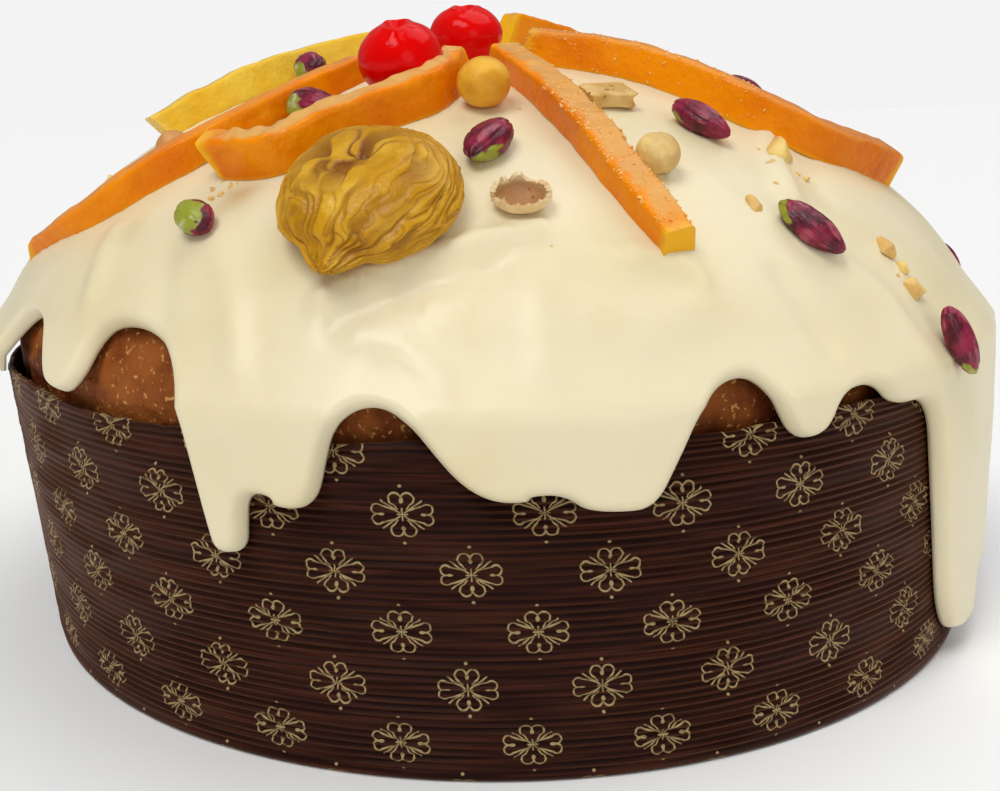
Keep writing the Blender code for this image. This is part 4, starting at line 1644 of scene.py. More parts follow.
    def thickness(self, points: Rows, edge_way: Rows,
                  toppings: BVHTree) -> Rows:
        """How thick the icing is over places of its inner face.

        Args:
            points: Rows of three coordinates.
            edge_way: How far in from the lip each place is.
            toppings: The surfaces of the toppings, that the icing rises to.

        Returns:
            One thickness for each place.
        """
        sag = np.clip((self.sag_from - points[:, 2]) / self.sag_over, 0.0, 1.0)
        full = self.skin + self.drip_extra * sag
        outer = points + LOAF.way_out(points)[1] * full[:, None]
        for fold in self.folds:
            way = [LOAF.spot(az, r) for az, r in fold.way]
            full += fold.lift * MM * bump_of(distance_to_line(outer, way), fold.width * MM)
        flow = outer * np.array([1.0, 1.0, 0.45])
        full += self.flow_relief * wobble(flow, 0.022, 7) + self.fine_relief * wobble(flow, 0.009, 8)
        near = np.array([toppings.find_nearest(Vector(p))[3] for p in outer])
        full += self.topping_rise * np.clip(1 - near / self.topping_reach, 0.0, 1.0) ** 2
        share = np.minimum(edge_way / self.lip, 1.0)
        return full * np.maximum(np.sqrt(1 - (1 - share) ** 2), self.lip_least)

    def inner_sheet(self) -> tuple[Object, Rows]:
        """The icing's inner face as an open mesh, and each vertex's way from the lip.

        Returns:
            The mesh, and the ways in the order of its vertices.
        """
        shape = bmesh.new()
        ways: list[float] = []

        def ring_of(azimuths: Rows, way: Rows, from_edge: Rows) -> list:
            """Adds a ring of vertices.

            Args:
                azimuths: Their azimuths in radians.
                way: Their ways from the pole.
                from_edge: Their ways from the lip.

            Returns:
                The new vertices.
            """
            ways.extend(from_edge)
            places = self.on_sheet(azimuths, way)
            return [shape.verts.new(place) for place in places]

        azimuths, ring_ways, from_edge = self.rings()
        rows = [ring_of(*ring) for ring in zip(azimuths, ring_ways, from_edge)]
        count = self.columns
        for low, high in zip(rows, rows[1:]):
            for k in range(count):
                shape.faces.new((low[k], low[(k + 1) % count], high[(k + 1) % count], high[k]))
        below = list(zip(azimuths[-1], rows[-1]))
        start = float(self.way(self.top_ring))
        rounds = int(start / self.ring_step)
        for step in range(1, rounds):
            way = start * (1 - step / rounds)
            radius = float(np.interp(way, self.ways, self.line[:, 0]))
            wanted = max(int(math.tau * radius / self.ring_step), 8)
            turns = below[0][0] + np.linspace(0, math.tau, wanted, endpoint=False)
            verts = ring_of(turns, np.full(wanted, way), np.full(wanted, self.lip))
            ring = list(zip(turns, verts))
            self.stitch(shape, below, ring)
            below = ring
        pole = ring_of(np.zeros(1), np.zeros(1), np.full(1, self.lip))[0]
        for (_, a), (_, b) in zip(below, below[1:] + below[:1]):
            shape.faces.new((a, b, pole))
        mesh = bpy.data.meshes.new("poured_icing")
        bmesh.ops.recalc_face_normals(shape, faces=shape.faces)
        shape.to_mesh(mesh)
        shape.free()
        return linked("poured_icing", mesh), np.array(ways)

    @staticmethod
    def stitch(shape: bmesh.types.BMesh, lower: list, upper: list) -> None:
        """Joins two rings of (azimuth, vertex) with unlike counts by triangles.

        Args:
            shape: The mesh that holds them.
            lower: The one ring.
            upper: The other.
        """
        low = sorted(lower, key=lambda pair: pair[0])
        up = sorted(upper, key=lambda pair: pair[0])
        low.append((low[0][0] + math.tau, low[0][1]))
        up.append((up[0][0] + math.tau, up[0][1]))
        i = j = 0
        while i < len(low) - 1 or j < len(up) - 1:
            low_next = low[i + 1][0] if i < len(low) - 1 else math.inf
            up_next = up[j + 1][0] if j < len(up) - 1 else math.inf
            if low_next <= up_next:
                shape.faces.new((low[i][1], low[i + 1][1], up[j][1]))
                i += 1
            else:
                shape.faces.new((low[i][1], up[j + 1][1], up[j][1]))
                j += 1

    def model(self) -> Object:
        """Pours the icing: the inner face, thickened outwards by its relief.

        Returns:
            The finished icing.
        """
        toppings = topping_surfaces()
        icing, ways = self.inner_sheet()
        inner = positions(icing)
        thick = self.thickness(inner, ways, toppings)
        solid = icing.modifiers.new("skin", "SOLIDIFY")
        solid.thickness = self.skin
        solid.offset = 1.0
        apply_modifiers(icing)
        sides = positions(icing).reshape(2, -1, 3)
        outside = int(np.abs(sides - inner).sum(axis=(1, 2)).argmax())
        sides[outside] = inner + LOAF.way_out(inner)[1] * thick[:, None]
        points = sides.reshape(-1, 3)
        set_positions(icing, points)
        stain = np.zeros(len(points))
        for azimuth, radius, size, strength in self.stains:
            far = np.linalg.norm(points - LOAF.spot(azimuth, radius), axis=1)
            rough = 1 + 0.35 * wobble(points, 0.0025, 11)
            stain = np.maximum(stain, strength * bump_of(far * rough, size * MM))
        paint(icing, "stain", stain)
        shade(icing)
        return icing

    def settled(self, points: Rows, sunk: float) -> Rows:
        """Moves a topping towards the icing until its lowest point is sunk in it.

        Args:
            points: The topping's points.
            sunk: How far the lowest comes to lie under the icing's face.

        Returns:
            The moved points.
        """
        moved = points.copy()
        for _ in range(self.settling_rounds):
            some = [Vector(point) for point in moved[::self.tested_every]]
            found = [self.surface.find_nearest(point)[:2] for point in some]
            off = np.array([(point - spot).dot(out) for point, (spot, out) in zip(some, found)])
            lowest = int(off.argmin())
            moved -= np.array(found[lowest][1]) * max(off[lowest] + sunk, 0.0)
        return moved

    def build(self, effects: SharedEffects) -> None:
        """Makes the icing and hands it over.

        Args:
            effects: The effects that the finishes share.
        """
        made = self.model()
        self.surface = BVHTree.FromPolygons([vert.co for vert in made.data.vertices],
                                            [face.vertices[:] for face in made.data.polygons])
        present(made, IcingFinish("white_icing", effects).make(), Slot.ICING, "icing")


TOPPING_STARTS = ("peel", "cherry", "fig", "pistachio", "hazelnut")


def topping_surfaces() -> BVHTree:
    """The surfaces of all toppings, as their CAD nodes have them.

    Returns:
        One tree over all of them.
    """
    points: list[Vector] = []
    faces: list[tuple[int, ...]] = []
    for name, node in sorted(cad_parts.items()):
        if name.startswith(TOPPING_STARTS):
            start = len(points)
            points += [vert.co.copy() for vert in node.data.vertices]
            faces += [tuple(start + i for i in face.vertices) for face in node.data.polygons]
    return BVHTree.FromPolygons(points, faces)


# Candied peel


@dataclass(frozen=True)
class Strip:
    """One strip of peel. Lengths are in mm, and shares run from 0 at its first end
    to 1 at its last."""

    node: str
    slot: Slot
    height: float
    width: float
    tip_over: float
    way: tuple[tuple[float, float], ...]
    pith_side: float = 0.0
    pith_top: float = 0.0
    start_slant: float = 0.35
    end_slant: float = 0.35
    tail: float = 1.0
    ragged: float = 0.0
    sugar: tuple[float, float] | None = None
    grains: int = 0
    dark_end: float = 0.0


ORANGE = Slot.ORANGE_PEEL
LEMON = Slot.LEMON_PEEL


@dataclass
class Peels:
    """The strips of candied peel, and the sugar on them."""

    stations: int = 84
    corner: float = 0.14
    gap: float = 0.00015
    relief: float = 0.00028
    fine_relief: float = 0.00012
    kept_edge: float = 34
    grain_sizes: tuple[float, float] = (0.25, 0.6)
    grain_stretch: tuple[float, float] = (1.0, 1.8)
    strips: tuple[Strip, ...] = (
        Strip("peel_yellow_left", LEMON, 6.6, 4.8, 4.0,
              ((-168, 21), (-166, 36), (-159.5, 54.5), (-155.5, 70)), -1.0, 0.3, 0.35, -0.3, 0.9),
        Strip("peel_orange_left", ORANGE, 5.6, 4.6, 6.0,
              ((-121, 41), (-125, 57), (-132.2, 75), (-142.2, 90.5), (-153.5, 98.5)),
              -1.0, 0.25, 0.35, 0.8, 0.62),
        Strip("peel_orange_front_left", ORANGE, 7.6, 5.2, 8.0,
              ((-92.5, 44), (-97.2, 57), (-109.2, 69.2), (-117, 77.4), (-125, 78.5)),
              -1.0, 0.95, 0.35, -0.45, 1.0, 0.6),
        Strip("peel_orange_front_right", ORANGE, 6.0, 7.0, 8.0,
              ((-79, 36), (-75.5, 56), (-73.6, 72), (-72.2, 84), (-70.3, 95)),
              1.0, 0.8, 0.35, 0.3, 0.95, 0.4, (0.3, 0.99), 260),
        Strip("peel_orange_right", ORANGE, 7.2, 5.2, -6.0,
              ((-70, 30.3), (-49, 38.4), (-40.5, 50), (-38.8, 66), (-34.5, 77.5),
               (-26, 84), (-20.5, 87.5)), 0.0, 0.3, 0.35, 0.15, 1.0, 0.2, (0.0, 0.55), 150, 0.55),
        Strip("peel_orange_back_right", ORANGE, 9.0, 5.4, 5.0,
              ((45, 9), (47, 34), (43, 58), (38, 80)), 1.0, 0.8, 0.35, 0.35, 1.0, 0.4,
              (0.3, 0.95), 40),
        Strip("peel_yellow_back_left", LEMON, 7.4, 5.2, -5.0,
              ((122, 20), (126, 42), (130, 64), (136, 84)), -1.0, 0.5, 0.35, 0.35, 1.0, 0.2,
              (0.2, 0.9), 30),
    )

    def bar(self, name: str) -> Object:
        """A straight bar one metre each way, with rounded long edges and rings
        along it, to be laid on its way.

        Args:
            name: The new object's name.

        Returns:
            The bar.
        """
        made = cube(name)

        def is_long(a: Vector, b: Vector) -> bool:
            """Along the bar."""
            return abs(a.x - b.x) > 0.5

        def is_flat(a: Vector, b: Vector) -> bool:
            """Across a flat side."""
            return abs(a.x - b.x) < 0.1 and (a - b).length > 0.5

        edit(made, "EDGE")
        pick_edges(made, is_long)
        bpy.ops.mesh.bevel(offset=self.corner, segments=4, affect="EDGES")
        pick_edges(made, is_flat)
        bpy.ops.mesh.subdivide(number_cuts=5)
        pick_edges(made, is_long)
        bpy.ops.mesh.subdivide(number_cuts=self.stations - 2)
        pick_faces(made, lambda middle: abs(middle.x) > 0.499)
        bpy.ops.mesh.inset(thickness=0.05)
        bpy.ops.mesh.inset(thickness=0.05)
        bpy.ops.mesh.poke()
        bpy.ops.object.mode_set(mode="OBJECT")
        return made

    def lay(self, strip: Strip) -> Object:
        """Lays a bar on its way over the icing and gives it its relief.

        Args:
            strip: The strip's sizes.

        Returns:
            The finished strip.
        """
        made = self.bar("candied_" + strip.node)
        local = positions(made)
        share = np.clip(local[:, 0] + 0.5, 0.0, 1.0)
        across, rise = local[:, 1] * 2, local[:, 2] + 0.5
        way = np.array([LOAF.spot(az, r) for az, r in strip.way])
        middle = smooth_line(way, share)
        ahead = smooth_line(way, np.minimum(share + 0.01, 1.0))
        ahead -= smooth_line(way, np.maximum(share - 0.01, 0.0))
        ahead /= np.linalg.norm(ahead, axis=1)[:, None]
        up = LOAF.way_out(middle)[1]
        side = np.cross(up, ahead)
        side /= np.linalg.norm(side, axis=1)[:, None]
        tip = math.radians(strip.tip_over)
        tilted = up * math.cos(tip) + np.cross(ahead, up) * math.sin(tip)
        steady = np.column_stack([share * 40, share * 0, share * 0]) + strip.height
        tall = strip.height * MM * (1 + 0.05 * wobble(steady, 5.0, 1))
        wide = strip.width * MM * (1 + 0.07 * wobble(steady, 4.0, 2)) * (1 - 0.10 * rise)
        tail = 1 - (1 - strip.tail) * ramped(share, 0.55, 1.0)
        tall, wide = tall * tail, wide * tail
        near_end = np.abs(share - 0.5) > 0.499
        slant = np.where(share > 0.5, strip.end_slant, -strip.start_slant)
        shift = (0.5 - rise) * slant * strip.height * MM
        fade = np.maximum(1 - np.minimum(share, 1 - share) * self.stations / 5, 0.0)
        level = rise * tall + self.gap
        points = middle + tilted * level[:, None] + side * (across * wide / 2)[:, None]
        points += ahead * (shift * np.maximum(fade, near_end))[:, None]
        out = tilted * (rise * 2 - 1)[:, None] + side * across[:, None]
        out /= np.maximum(np.linalg.norm(out, axis=1), 0.3)[:, None]
        relief = self.relief * wobble(points, 0.006, 4) + self.fine_relief * wobble(points, 0.0022, 5)
        points += out * (relief * (1 - near_end))[:, None]
        patchy = 0.25 * wobble(steady + np.column_stack([across, rise, rise]), 1.4, 8)
        pith = ramped(across * strip.pith_side + patchy, 0.75, 0.95)
        far_top = ramped(across * strip.pith_side + patchy, -0.85, -0.35)
        over = ramped(rise + 0.2 * patchy, 0.90, 0.98) * strip.pith_top
        pith = np.maximum(pith, over * (far_top if strip.pith_side else 1.0))
        torn = wobble(points, 0.0021, 6) * strip.ragged * MM * ramped(rise, 0.75, 0.95)
        points += tilted * (torn * np.maximum(pith, 0.4) * (1 - near_end))[:, None]
        set_positions(made, points)
        end = np.maximum(ramped(share, 0.955, 1.0), ramped(share, 0.03, 0.0))
        low = ramped(rise, 0.16, 0.04) * 0.7
        paint(made, "pith", pith * (1 - 0.7 * ramped(share, 0.86, 0.98)))
        paint(made, "end", np.maximum(end, low))
        streak = bump_of(share - 0.88 + 0.01 * patchy, 0.012)
        paint(made, "amber", strip.dark_end * (ramped(share, 0.5, 0.8) + 0.8 * streak))
        shade(made, self.kept_edge)
        return made

    def grains(self, strip: Strip, made: Object, draw: random.Random) -> list[Matrix]:
        """Places for sugar grains on a strip's top and shown side.

        Args:
            strip: The strip's sizes.
            made: The laid strip.
            draw: The seeded source of chance.

        Returns:
            One place for each grain.
        """
        if strip.sugar is None:
            return []
        points, facing = positions(made), normals(made)
        way = np.array([LOAF.spot(az, r) for az, r in strip.way])
        stations = smooth_line(way, np.linspace(0, 1, 60))
        near = np.argmin(np.linalg.norm(points[:, None] - stations[None], axis=2), axis=1) / 59
        up = LOAF.way_out(points)[1]
        shown = (np.sum(facing * up, axis=1) > 0.25) | (facing[:, 1] < -0.75)
        inside = (near >= strip.sugar[0]) & (near <= strip.sugar[1])
        choices = np.flatnonzero(shown & inside)
        places = []
        for _ in range(strip.grains):
            index = choices[draw.randrange(len(choices))]
            turn = Matrix.Rotation(draw.uniform(0, math.tau), 4, Vector(facing[index]))
            size = draw.uniform(*self.grain_sizes) * MM
            stretched = size * draw.uniform(*self.grain_stretch)
            stretch = Matrix.Diagonal((stretched, size, size * 0.6, 1.0))
            spot = Matrix.Translation(Vector(points[index]))
            places.append(spot @ turn @ stretch)
        return places

    def build(self, effects: SharedEffects) -> None:
        """Makes every strip and the sugar, and hands them over.

        Args:
            effects: The effects that the finishes share.
        """
        orange = PeelFinish("candied_orange", effects).make()
        lemon = PeelFinish("candied_lemon", effects, rind=(0.90, 0.59, 0.060),
                           deep=(0.86, 0.47, 0.022), light=(0.90, 0.60, 0.090),
                           pith=(0.86, 0.62, 0.24)).make()
        draw = random.Random(11)
        places: list[Matrix] = []
        for strip in self.strips:
            made = self.lay(strip)
            places += self.grains(strip, made, draw)
            present(made, orange if strip.slot is ORANGE else lemon, strip.slot, strip.node)
        grain = icosphere("grain", 2)
        set_positions(grain, positions(grain) * (1 + 0.25 * wobble(positions(grain), 0.4, 3))[:, None])
        sugar = scattered("peel_sugar", [grain], places)
        present(sugar, SugarFinish("peel_sugar", effects).make(), ORANGE)


# Round toppings


@dataclass
class Cherries:
    """The candied cherries, each with the ring round the hole of its stone."""

    nodes: tuple[str, ...] = ("cherry_left", "cherry_top", "cherry_back")
    hole: float = 0.12
    dent: float = 0.16
    lip: float = 0.03
    fullness: float = 1.01

    def model(self, node: str, seed: int) -> Object:
        """Shapes one cherry on its seat.

        Args:
            node: Its CAD node.
            seed: Chooses its crumples.

        Returns:
            The finished cherry.
        """
        seat = Seat.of(node)
        made = icosphere("candied_" + node, 6)
        local = positions(made)
        away = np.hypot(local[:, 0] * 0.85, local[:, 1] * 1.1)
        turn = np.arctan2(local[:, 1], local[:, 0])
        top = ramped(local[:, 2], 0.0, 0.3)
        ring = self.hole * (1 + 0.14 * np.sin(2 * turn + seed) + 0.1 * np.sin(5 * turn))
        local[:, 2] -= self.dent * bump_of(away, self.hole) * top
        local[:, 2] += self.lip * bump_of(away - ring * 1.35, self.hole * 0.4) * top
        crumple = wobble(positions(made) + seed, 0.35, 1) * 0.02
        crumple += wobble(positions(made) + seed, 0.13, 2) * 0.009
        pleat = 0.007 * np.sin(7 * turn + 2 * np.sin(turn)) * bump_of(away - 0.25, 0.1) * top
        local *= (1 + crumple + pleat)[:, None]
        set_positions(made, seat.place(local * seat.size * self.fullness))
        shade(made)
        return made

    def build(self, effects: SharedEffects) -> None:
        """Makes the cherries and hands them over.

        Args:
            effects: The effects that the finishes share.
        """
        finish = CherryFinish("candied_cherry", effects).make()
        for seed, node in enumerate(self.nodes):
            present(self.model(node, seed * 3 + 1), finish, Slot.CHERRY, node)


@dataclass(frozen=True)
class Fig:
    """One dried fig: where its eye opens and where its stem was, in its own axes
    (downhill, across, up)."""

    node: str
    eye: tuple[float, float, float]
    stem: tuple[float, float, float]
    seed: int


@dataclass
class Figs:
    """The dried figs, with folds that run from stem to eye."""

    figs: tuple[Fig, ...] = (
        Fig("fig_front", (-0.22, -0.22, 0.9), (0.90, -0.24, -0.25), 4),
        Fig("fig_back", (-0.2, 0.3, 0.9), (0.8, 0.5, -0.2), 9),
    )
    fold_depth: float = 0.040
    eye_depth: float = 0.085
    squat: float = 2.7
    taper: float = 0.17

    @staticmethod
    def fan(ball: Rows, pole: Rows, warp: Rows, size: float,
            seed: int) -> Rows:
        """Noise whose features run away from a pole like the folds of a purse.

        Args:
            ball: Directions from the fig's middle.
            pole: The direction that the features run from.
            warp: How far each place is turned round the pole.
            size: How wide the features are.
            seed: Chooses another pattern.

        Returns:
            One value for each place.
        """
        first = np.cross(pole, (0.25, 0.35, 0.9))
        first /= np.linalg.norm(first)
        turn = np.arctan2(ball @ np.cross(pole, first), ball @ first) + warp
        ring = np.column_stack([np.cos(turn) * 2.4, np.sin(turn) * 2.4, ball @ pole * 0.7 + warp])
        return wobble(ring, size, seed)

    def model(self, fig: Fig) -> Object:
        """Shapes one fig on its seat.

        Args:
            fig: The fig's sizes.

        Returns:
            The finished fig.
        """
        seat = Seat.of(fig.node)
        made = icosphere("dried_" + fig.node, 7)
        ball = positions(made) * 2
        eye = np.array(fig.eye) / np.linalg.norm(fig.eye)
        stem = np.array(fig.stem) / np.linalg.norm(fig.stem)
        warp = 0.24 * wobble(ball, 0.7, fig.seed) + 0.12 * wobble(ball, 0.3, fig.seed + 1)
        to_eye = np.linalg.norm(ball - eye, axis=1)
        to_stem = np.linalg.norm(ball - stem, axis=1)
        top = ramped(to_eye + 0.12 * warp, 0.85, 0.5)
        patchy = 0.55 + 0.45 * wobble(ball, 0.5, fig.seed + 8)
        folds = self.fan(ball, stem, warp, 0.46, fig.seed + 2)
        fine = self.fan(ball, stem, warp * 1.5, 0.22, fig.seed + 3)
        groove = bump_of(folds, 0.2) * (1 - top) * patchy
        fine_groove = bump_of(fine, 0.25) * (1 - 0.8 * top)
        crumple = wobble(ball + 0.35 * warp[:, None], 0.34, fig.seed + 6)
        knots = wobble(ball + 0.2 * warp[:, None], 0.15, fig.seed + 9)
        crack = bump_of(crumple, 0.13) * top * bump_of(to_eye, 0.75)
        pit = ramped(wobble(ball, 0.3, fig.seed + 11), 0.02, 0.36) * bump_of(to_eye, 0.62)
        depth = self.fold_depth * (np.abs(folds) * (1 - top) - groove) - 0.016 * fine_groove
        depth += (0.05 * np.abs(crumple) + 0.022 * knots) * top + 0.008 * knots
        depth += 0.05 * wobble(ball, 0.75, fig.seed + 7) - 0.045 * crack
        depth -= self.eye_depth * (bump_of(to_eye, 0.45) + 0.9 * pit)
        depth += 0.05 * bump_of(to_eye - 0.66, 0.2) + 0.15 * bump_of(to_stem, 0.22)
        depth -= 0.05 * bump_of(to_stem - 0.42, 0.16)
        flat = np.hypot(ball[:, 0], ball[:, 1]) ** self.squat + np.abs(ball[:, 2]) ** self.squat
        shaped = ball * ((1 + depth) / flat ** (1 / self.squat))[:, None] / 2
        shaped[:, :2] *= (1 - self.taper * ramped(ball[:, 2], -0.3, 0.9))[:, None]
        shaped[:, 2] = np.maximum(shaped[:, 2], -0.42)
        set_positions(made, seat.place(shaped * seat.size))
        # Painted shade down the grooves, and the darker brown of the cracks and pits round the eye
        crease_shade_and_dark_eye = np.maximum(groove * 0.7, fine_groove * 0.46)
        crease_shade_and_dark_eye = np.maximum(crease_shade_and_dark_eye, crack)
        crease_shade_and_dark_eye = np.maximum(crease_shade_and_dark_eye, pit)
        paint(made, "crease_shade_and_dark_eye", crease_shade_and_dark_eye)
        shade(made)
        return made

    def build(self, effects: SharedEffects) -> None:
        """Makes the figs and hands them over.

        Args:
            effects: The effects that the finishes share.
        """
        finish = FigFinish("dried_fig", effects).make()
        for fig in self.figs:
            present(self.model(fig), finish, Slot.FIG, fig.node)


@dataclass(frozen=True)
class Kernel:
    """One pistachio: the direction, in the row frame, in which its skin is rubbed
    off, and how much of it is bare."""

    node: str
    bare_side: tuple[float, float, float]
    bare: float


@dataclass
class Pistachios:
    """The pistachio kernels in their purple skins."""

    icing: Icing
    sunk: float = 0.0005
    fullness: float = 0.99
    kernels: tuple[Kernel, ...] = (
        Kernel("pistachio_01", (-0.7, -0.5, -0.7), 0.20),
        Kernel("pistachio_02", (-1.0, -0.2, -0.2), 0.22),
        Kernel("pistachio_03", (-1.0, -0.2, 0.35), 0.48),
        Kernel("pistachio_04", (0.0, -0.7, -1.0), 0.14),
        Kernel("pistachio_05", (-1.0, 0.0, -0.4), 0.05),
        Kernel("pistachio_06", (-0.9, 0.2, 0.6), 0.17),
        Kernel("pistachio_07", (0.2, -0.4, -1.0), 0.08),
        Kernel("pistachio_08", (0.0, 1.0, 0.0), 0.3),
        Kernel("pistachio_09", (0.4, 0.4, -1.0), 0.12),
        Kernel("pistachio_10", (1.0, 0.3, 0.2), 0.4),
        Kernel("pistachio_11", (0.5, 1.0, 0.5), 0.5),
        Kernel("pistachio_12", (-0.6, 1.0, -0.2), 0.25),
        Kernel("pistachio_13", (-1.0, 0.5, 0.4), 0.35),
    )

    def model(self, kernel: Kernel, seed: int) -> Object:
        """Shapes one kernel on its seat and paints its skin.

        Args:
            kernel: The kernel's sizes.
            seed: Chooses its creases.

        Returns:
            The finished kernel.
        """
        seat = Seat.of(kernel.node, lengthwise=True)
        made = icosphere("kernel_" + kernel.node[-2:], 5)
        local = positions(made)
        along = local[:, 0] * 2
        taper = 1 - 0.20 * np.maximum(along, 0) ** 2
        local[:, 1] *= taper
        local[:, 2] *= taper
        turn = np.arctan2(local[:, 2], local[:, 1])
        keel = bump_of(turn - 1.35 - 0.25 * along, 0.32) * (1 - along**2)
        creases = np.column_stack([along * 0.8 + seed, np.cos(turn) * 1.3, np.sin(turn) * 1.3])
        folds = wobble(creases, 0.42, seed)
        groove = bump_of(folds, 0.2)
        fine = bump_of(wobble(creases * np.array([0.8, 1, 1]), 0.2, seed + 9), 0.25)
        dent = wobble(creases, 0.9, seed + 20)
        local *= (1 + 0.04 * keel - 0.05 * groove - 0.016 * fine + 0.06 * dent)[:, None]
        direction = seat.turned_in(kernel.bare_side)
        unit = local / np.linalg.norm(local, axis=1)[:, None]
        edge = unit @ direction + 0.3 * wobble(unit + seed, 0.55, 3) + 0.1 * wobble(unit, 0.2, 5)
        bare = ramped(edge, 1.02 - 2 * kernel.bare, 1.10 - 2 * kernel.bare)
        local *= (1 - 0.02 * bare)[:, None]
        placed = seat.place(local * seat.size * self.fullness)
        set_positions(made, self.icing.settled(placed, self.sunk))
        # Painted highlight mask: high on the raised folds and the keel, low down the grooves
        ridge_highlight = ramped(np.abs(folds) * 0.9 + keel * 0.5 - groove - 0.3 * fine, 0.45, 0.9) * 0.7
        paint(made, "ridge", ridge_highlight)
        paint(made, "bare", bare)
        shade(made)
        return made

    def build(self, effects: SharedEffects) -> None:
        """Makes the kernels and hands them over.

        Args:
            effects: The effects that the finishes share.
        """
        finish = PistachioFinish("pistachio_skin", effects).make()
        for seed, kernel in enumerate(self.kernels):
            present(self.model(kernel, seed), finish, Slot.PISTACHIO, kernel.node)


@dataclass
class Hazelnuts:
    """Whole skinned hazelnuts, a hollow half and a flat broken piece."""

    wholes: tuple[str, ...] = tuple(f"hazelnut_{k}" for k in range(1, 6))
    half: str = "hazelnut_shell_half"
    flat: str = "hazelnut_flat_piece"
    wall: float = 0.0009
    broken_edge: float = 40

    def whole(self, node: str, seed: int) -> Object:
        """Shapes a whole nut, with faint seams from its tip.

        Args:
            node: Its CAD node.
            seed: Chooses its seams.

        Returns:
            The finished nut.
        """
        seat = Seat.of(node)
        made = icosphere("round_" + node, 5)
        local = positions(made)
        turn = np.arctan2(local[:, 1], local[:, 0])
        seams = 0.006 * np.cos(6 * turn + seed) * (1 - np.abs(local[:, 2] * 2))
        seams = seams + 0.02 * wobble(local + seed, 0.4, seed)
        if node == "hazelnut_2":
            seams = seams - 0.06 * bump_of(np.abs(local[:, 1]) - 0.04, 0.06)
        set_positions(made, seat.place(local * (1 + seams)[:, None] * seat.size))
        paint(made, "hollow", np.zeros(len(local)))
        shade(made)
        return made

    def hollow_half(self) -> Object:
        """Cuts a ball open above its middle, gives it a wall and a broken rim.

        Returns:
            The finished half.
        """
        seat = Seat.of(self.half)
        made = icosphere("hollow_half", 6)
        edit(made)
        bpy.ops.mesh.select_all(action="SELECT")
        bpy.ops.mesh.bisect(plane_co=(0.0, 0.0, 0.08), plane_no=(-0.12, 0.0, 1.0), clear_outer=True)
        bpy.ops.object.mode_set(mode="OBJECT")
        local = positions(made)
        turn = np.arctan2(local[:, 1], local[:, 0])
        rim = ramped(local[:, 2], -0.12, 0.08)
        broken = np.column_stack([np.cos(turn), np.sin(turn), 0 * turn])
        jag = 0.13 * wobble(broken, 0.45, 3) + 0.09 * wobble(broken, 0.2, 4)
        local[:, 2] += rim * jag + 0.16
        set_positions(made, seat.place(local * seat.size * np.array([1.0, 1.0, 1.35])))
        wall = made.modifiers.new("wall", "SOLIDIFY")
        wall.thickness = self.wall
        wall.offset = -1.0
        apply_modifiers(made)
        points = positions(made)
        middle = seat.place(np.array([[0.0, 0.0, 0.12 * seat.size[2]]]))[0]
        facing = np.sum(normals(made) * (middle - points), axis=1)
        inside = ramped(facing / np.linalg.norm(middle - points, axis=1), 0.0, 0.5)
        top = np.sum((points - middle) * seat.axes[2], axis=1)
        paint(made, "hollow", inside * ramped(-top, -0.0012, 0.0006) * 0.75)
        shade(made, self.broken_edge)
        return made

    def flat_piece(self) -> Object:
        """A flat broken piece with blunt corners.

        Returns:
            The finished piece.
        """
        seat = Seat.of(self.flat)
        made = cube("flat_piece")
        edit(made, "EDGE")
        bpy.ops.mesh.select_all(action="SELECT")
        bpy.ops.mesh.bevel(offset=0.14, segments=2, affect="EDGES")
        bpy.ops.mesh.select_all(action="SELECT")
        bpy.ops.mesh.subdivide(number_cuts=3)
        bpy.ops.object.mode_set(mode="OBJECT")
        local = positions(made)
        rough = 0.10 * wobble(local, 0.5, 2) + 0.05 * wobble(local, 0.17, 3)
        local *= (1 + rough)[:, None] * 0.94
        set_positions(made, seat.place(local * seat.size))
        paint(made, "hollow", np.zeros(len(local)))
        shade(made, self.broken_edge)
        return made

    def build(self, effects: SharedEffects) -> None:
        """Makes the nuts and hands them over.

        Args:
            effects: The effects that the finishes share.
        """
        golden = NutFinish("golden_hazelnut", effects).make()
        pale = NutFinish("pale_hazelnut", effects, flesh=(0.90, 0.68, 0.26),
                         shade=(0.66, 0.42, 0.15)).make()
        pink = NutFinish("rosy_hazelnut", effects, flesh=(0.72, 0.36, 0.13),
                         shade=(0.58, 0.25, 0.07)).make()
        finishes = {"hazelnut_2": pale, "hazelnut_3": pink}
        for seed, node in enumerate(self.wholes):
            present(self.whole(node, seed), finishes.get(node, golden), Slot.HAZELNUT, node)
        cream = NutFinish("split_hazelnut", effects, flesh=(0.84, 0.68, 0.40),
                          shade=(0.74, 0.50, 0.22), skin=(0.32, 0.105, 0.022), skin_low=0.7).make()
        present(self.hollow_half(), cream, Slot.HAZELNUT, self.half)
        spotted = NutFinish("spotted_hazelnut", effects, flesh=(0.80, 0.55, 0.22),
                            shade=(0.62, 0.36, 0.10), skin_low=0.62).make()
        present(self.flat_piece(), spotted, Slot.HAZELNUT, self.flat)


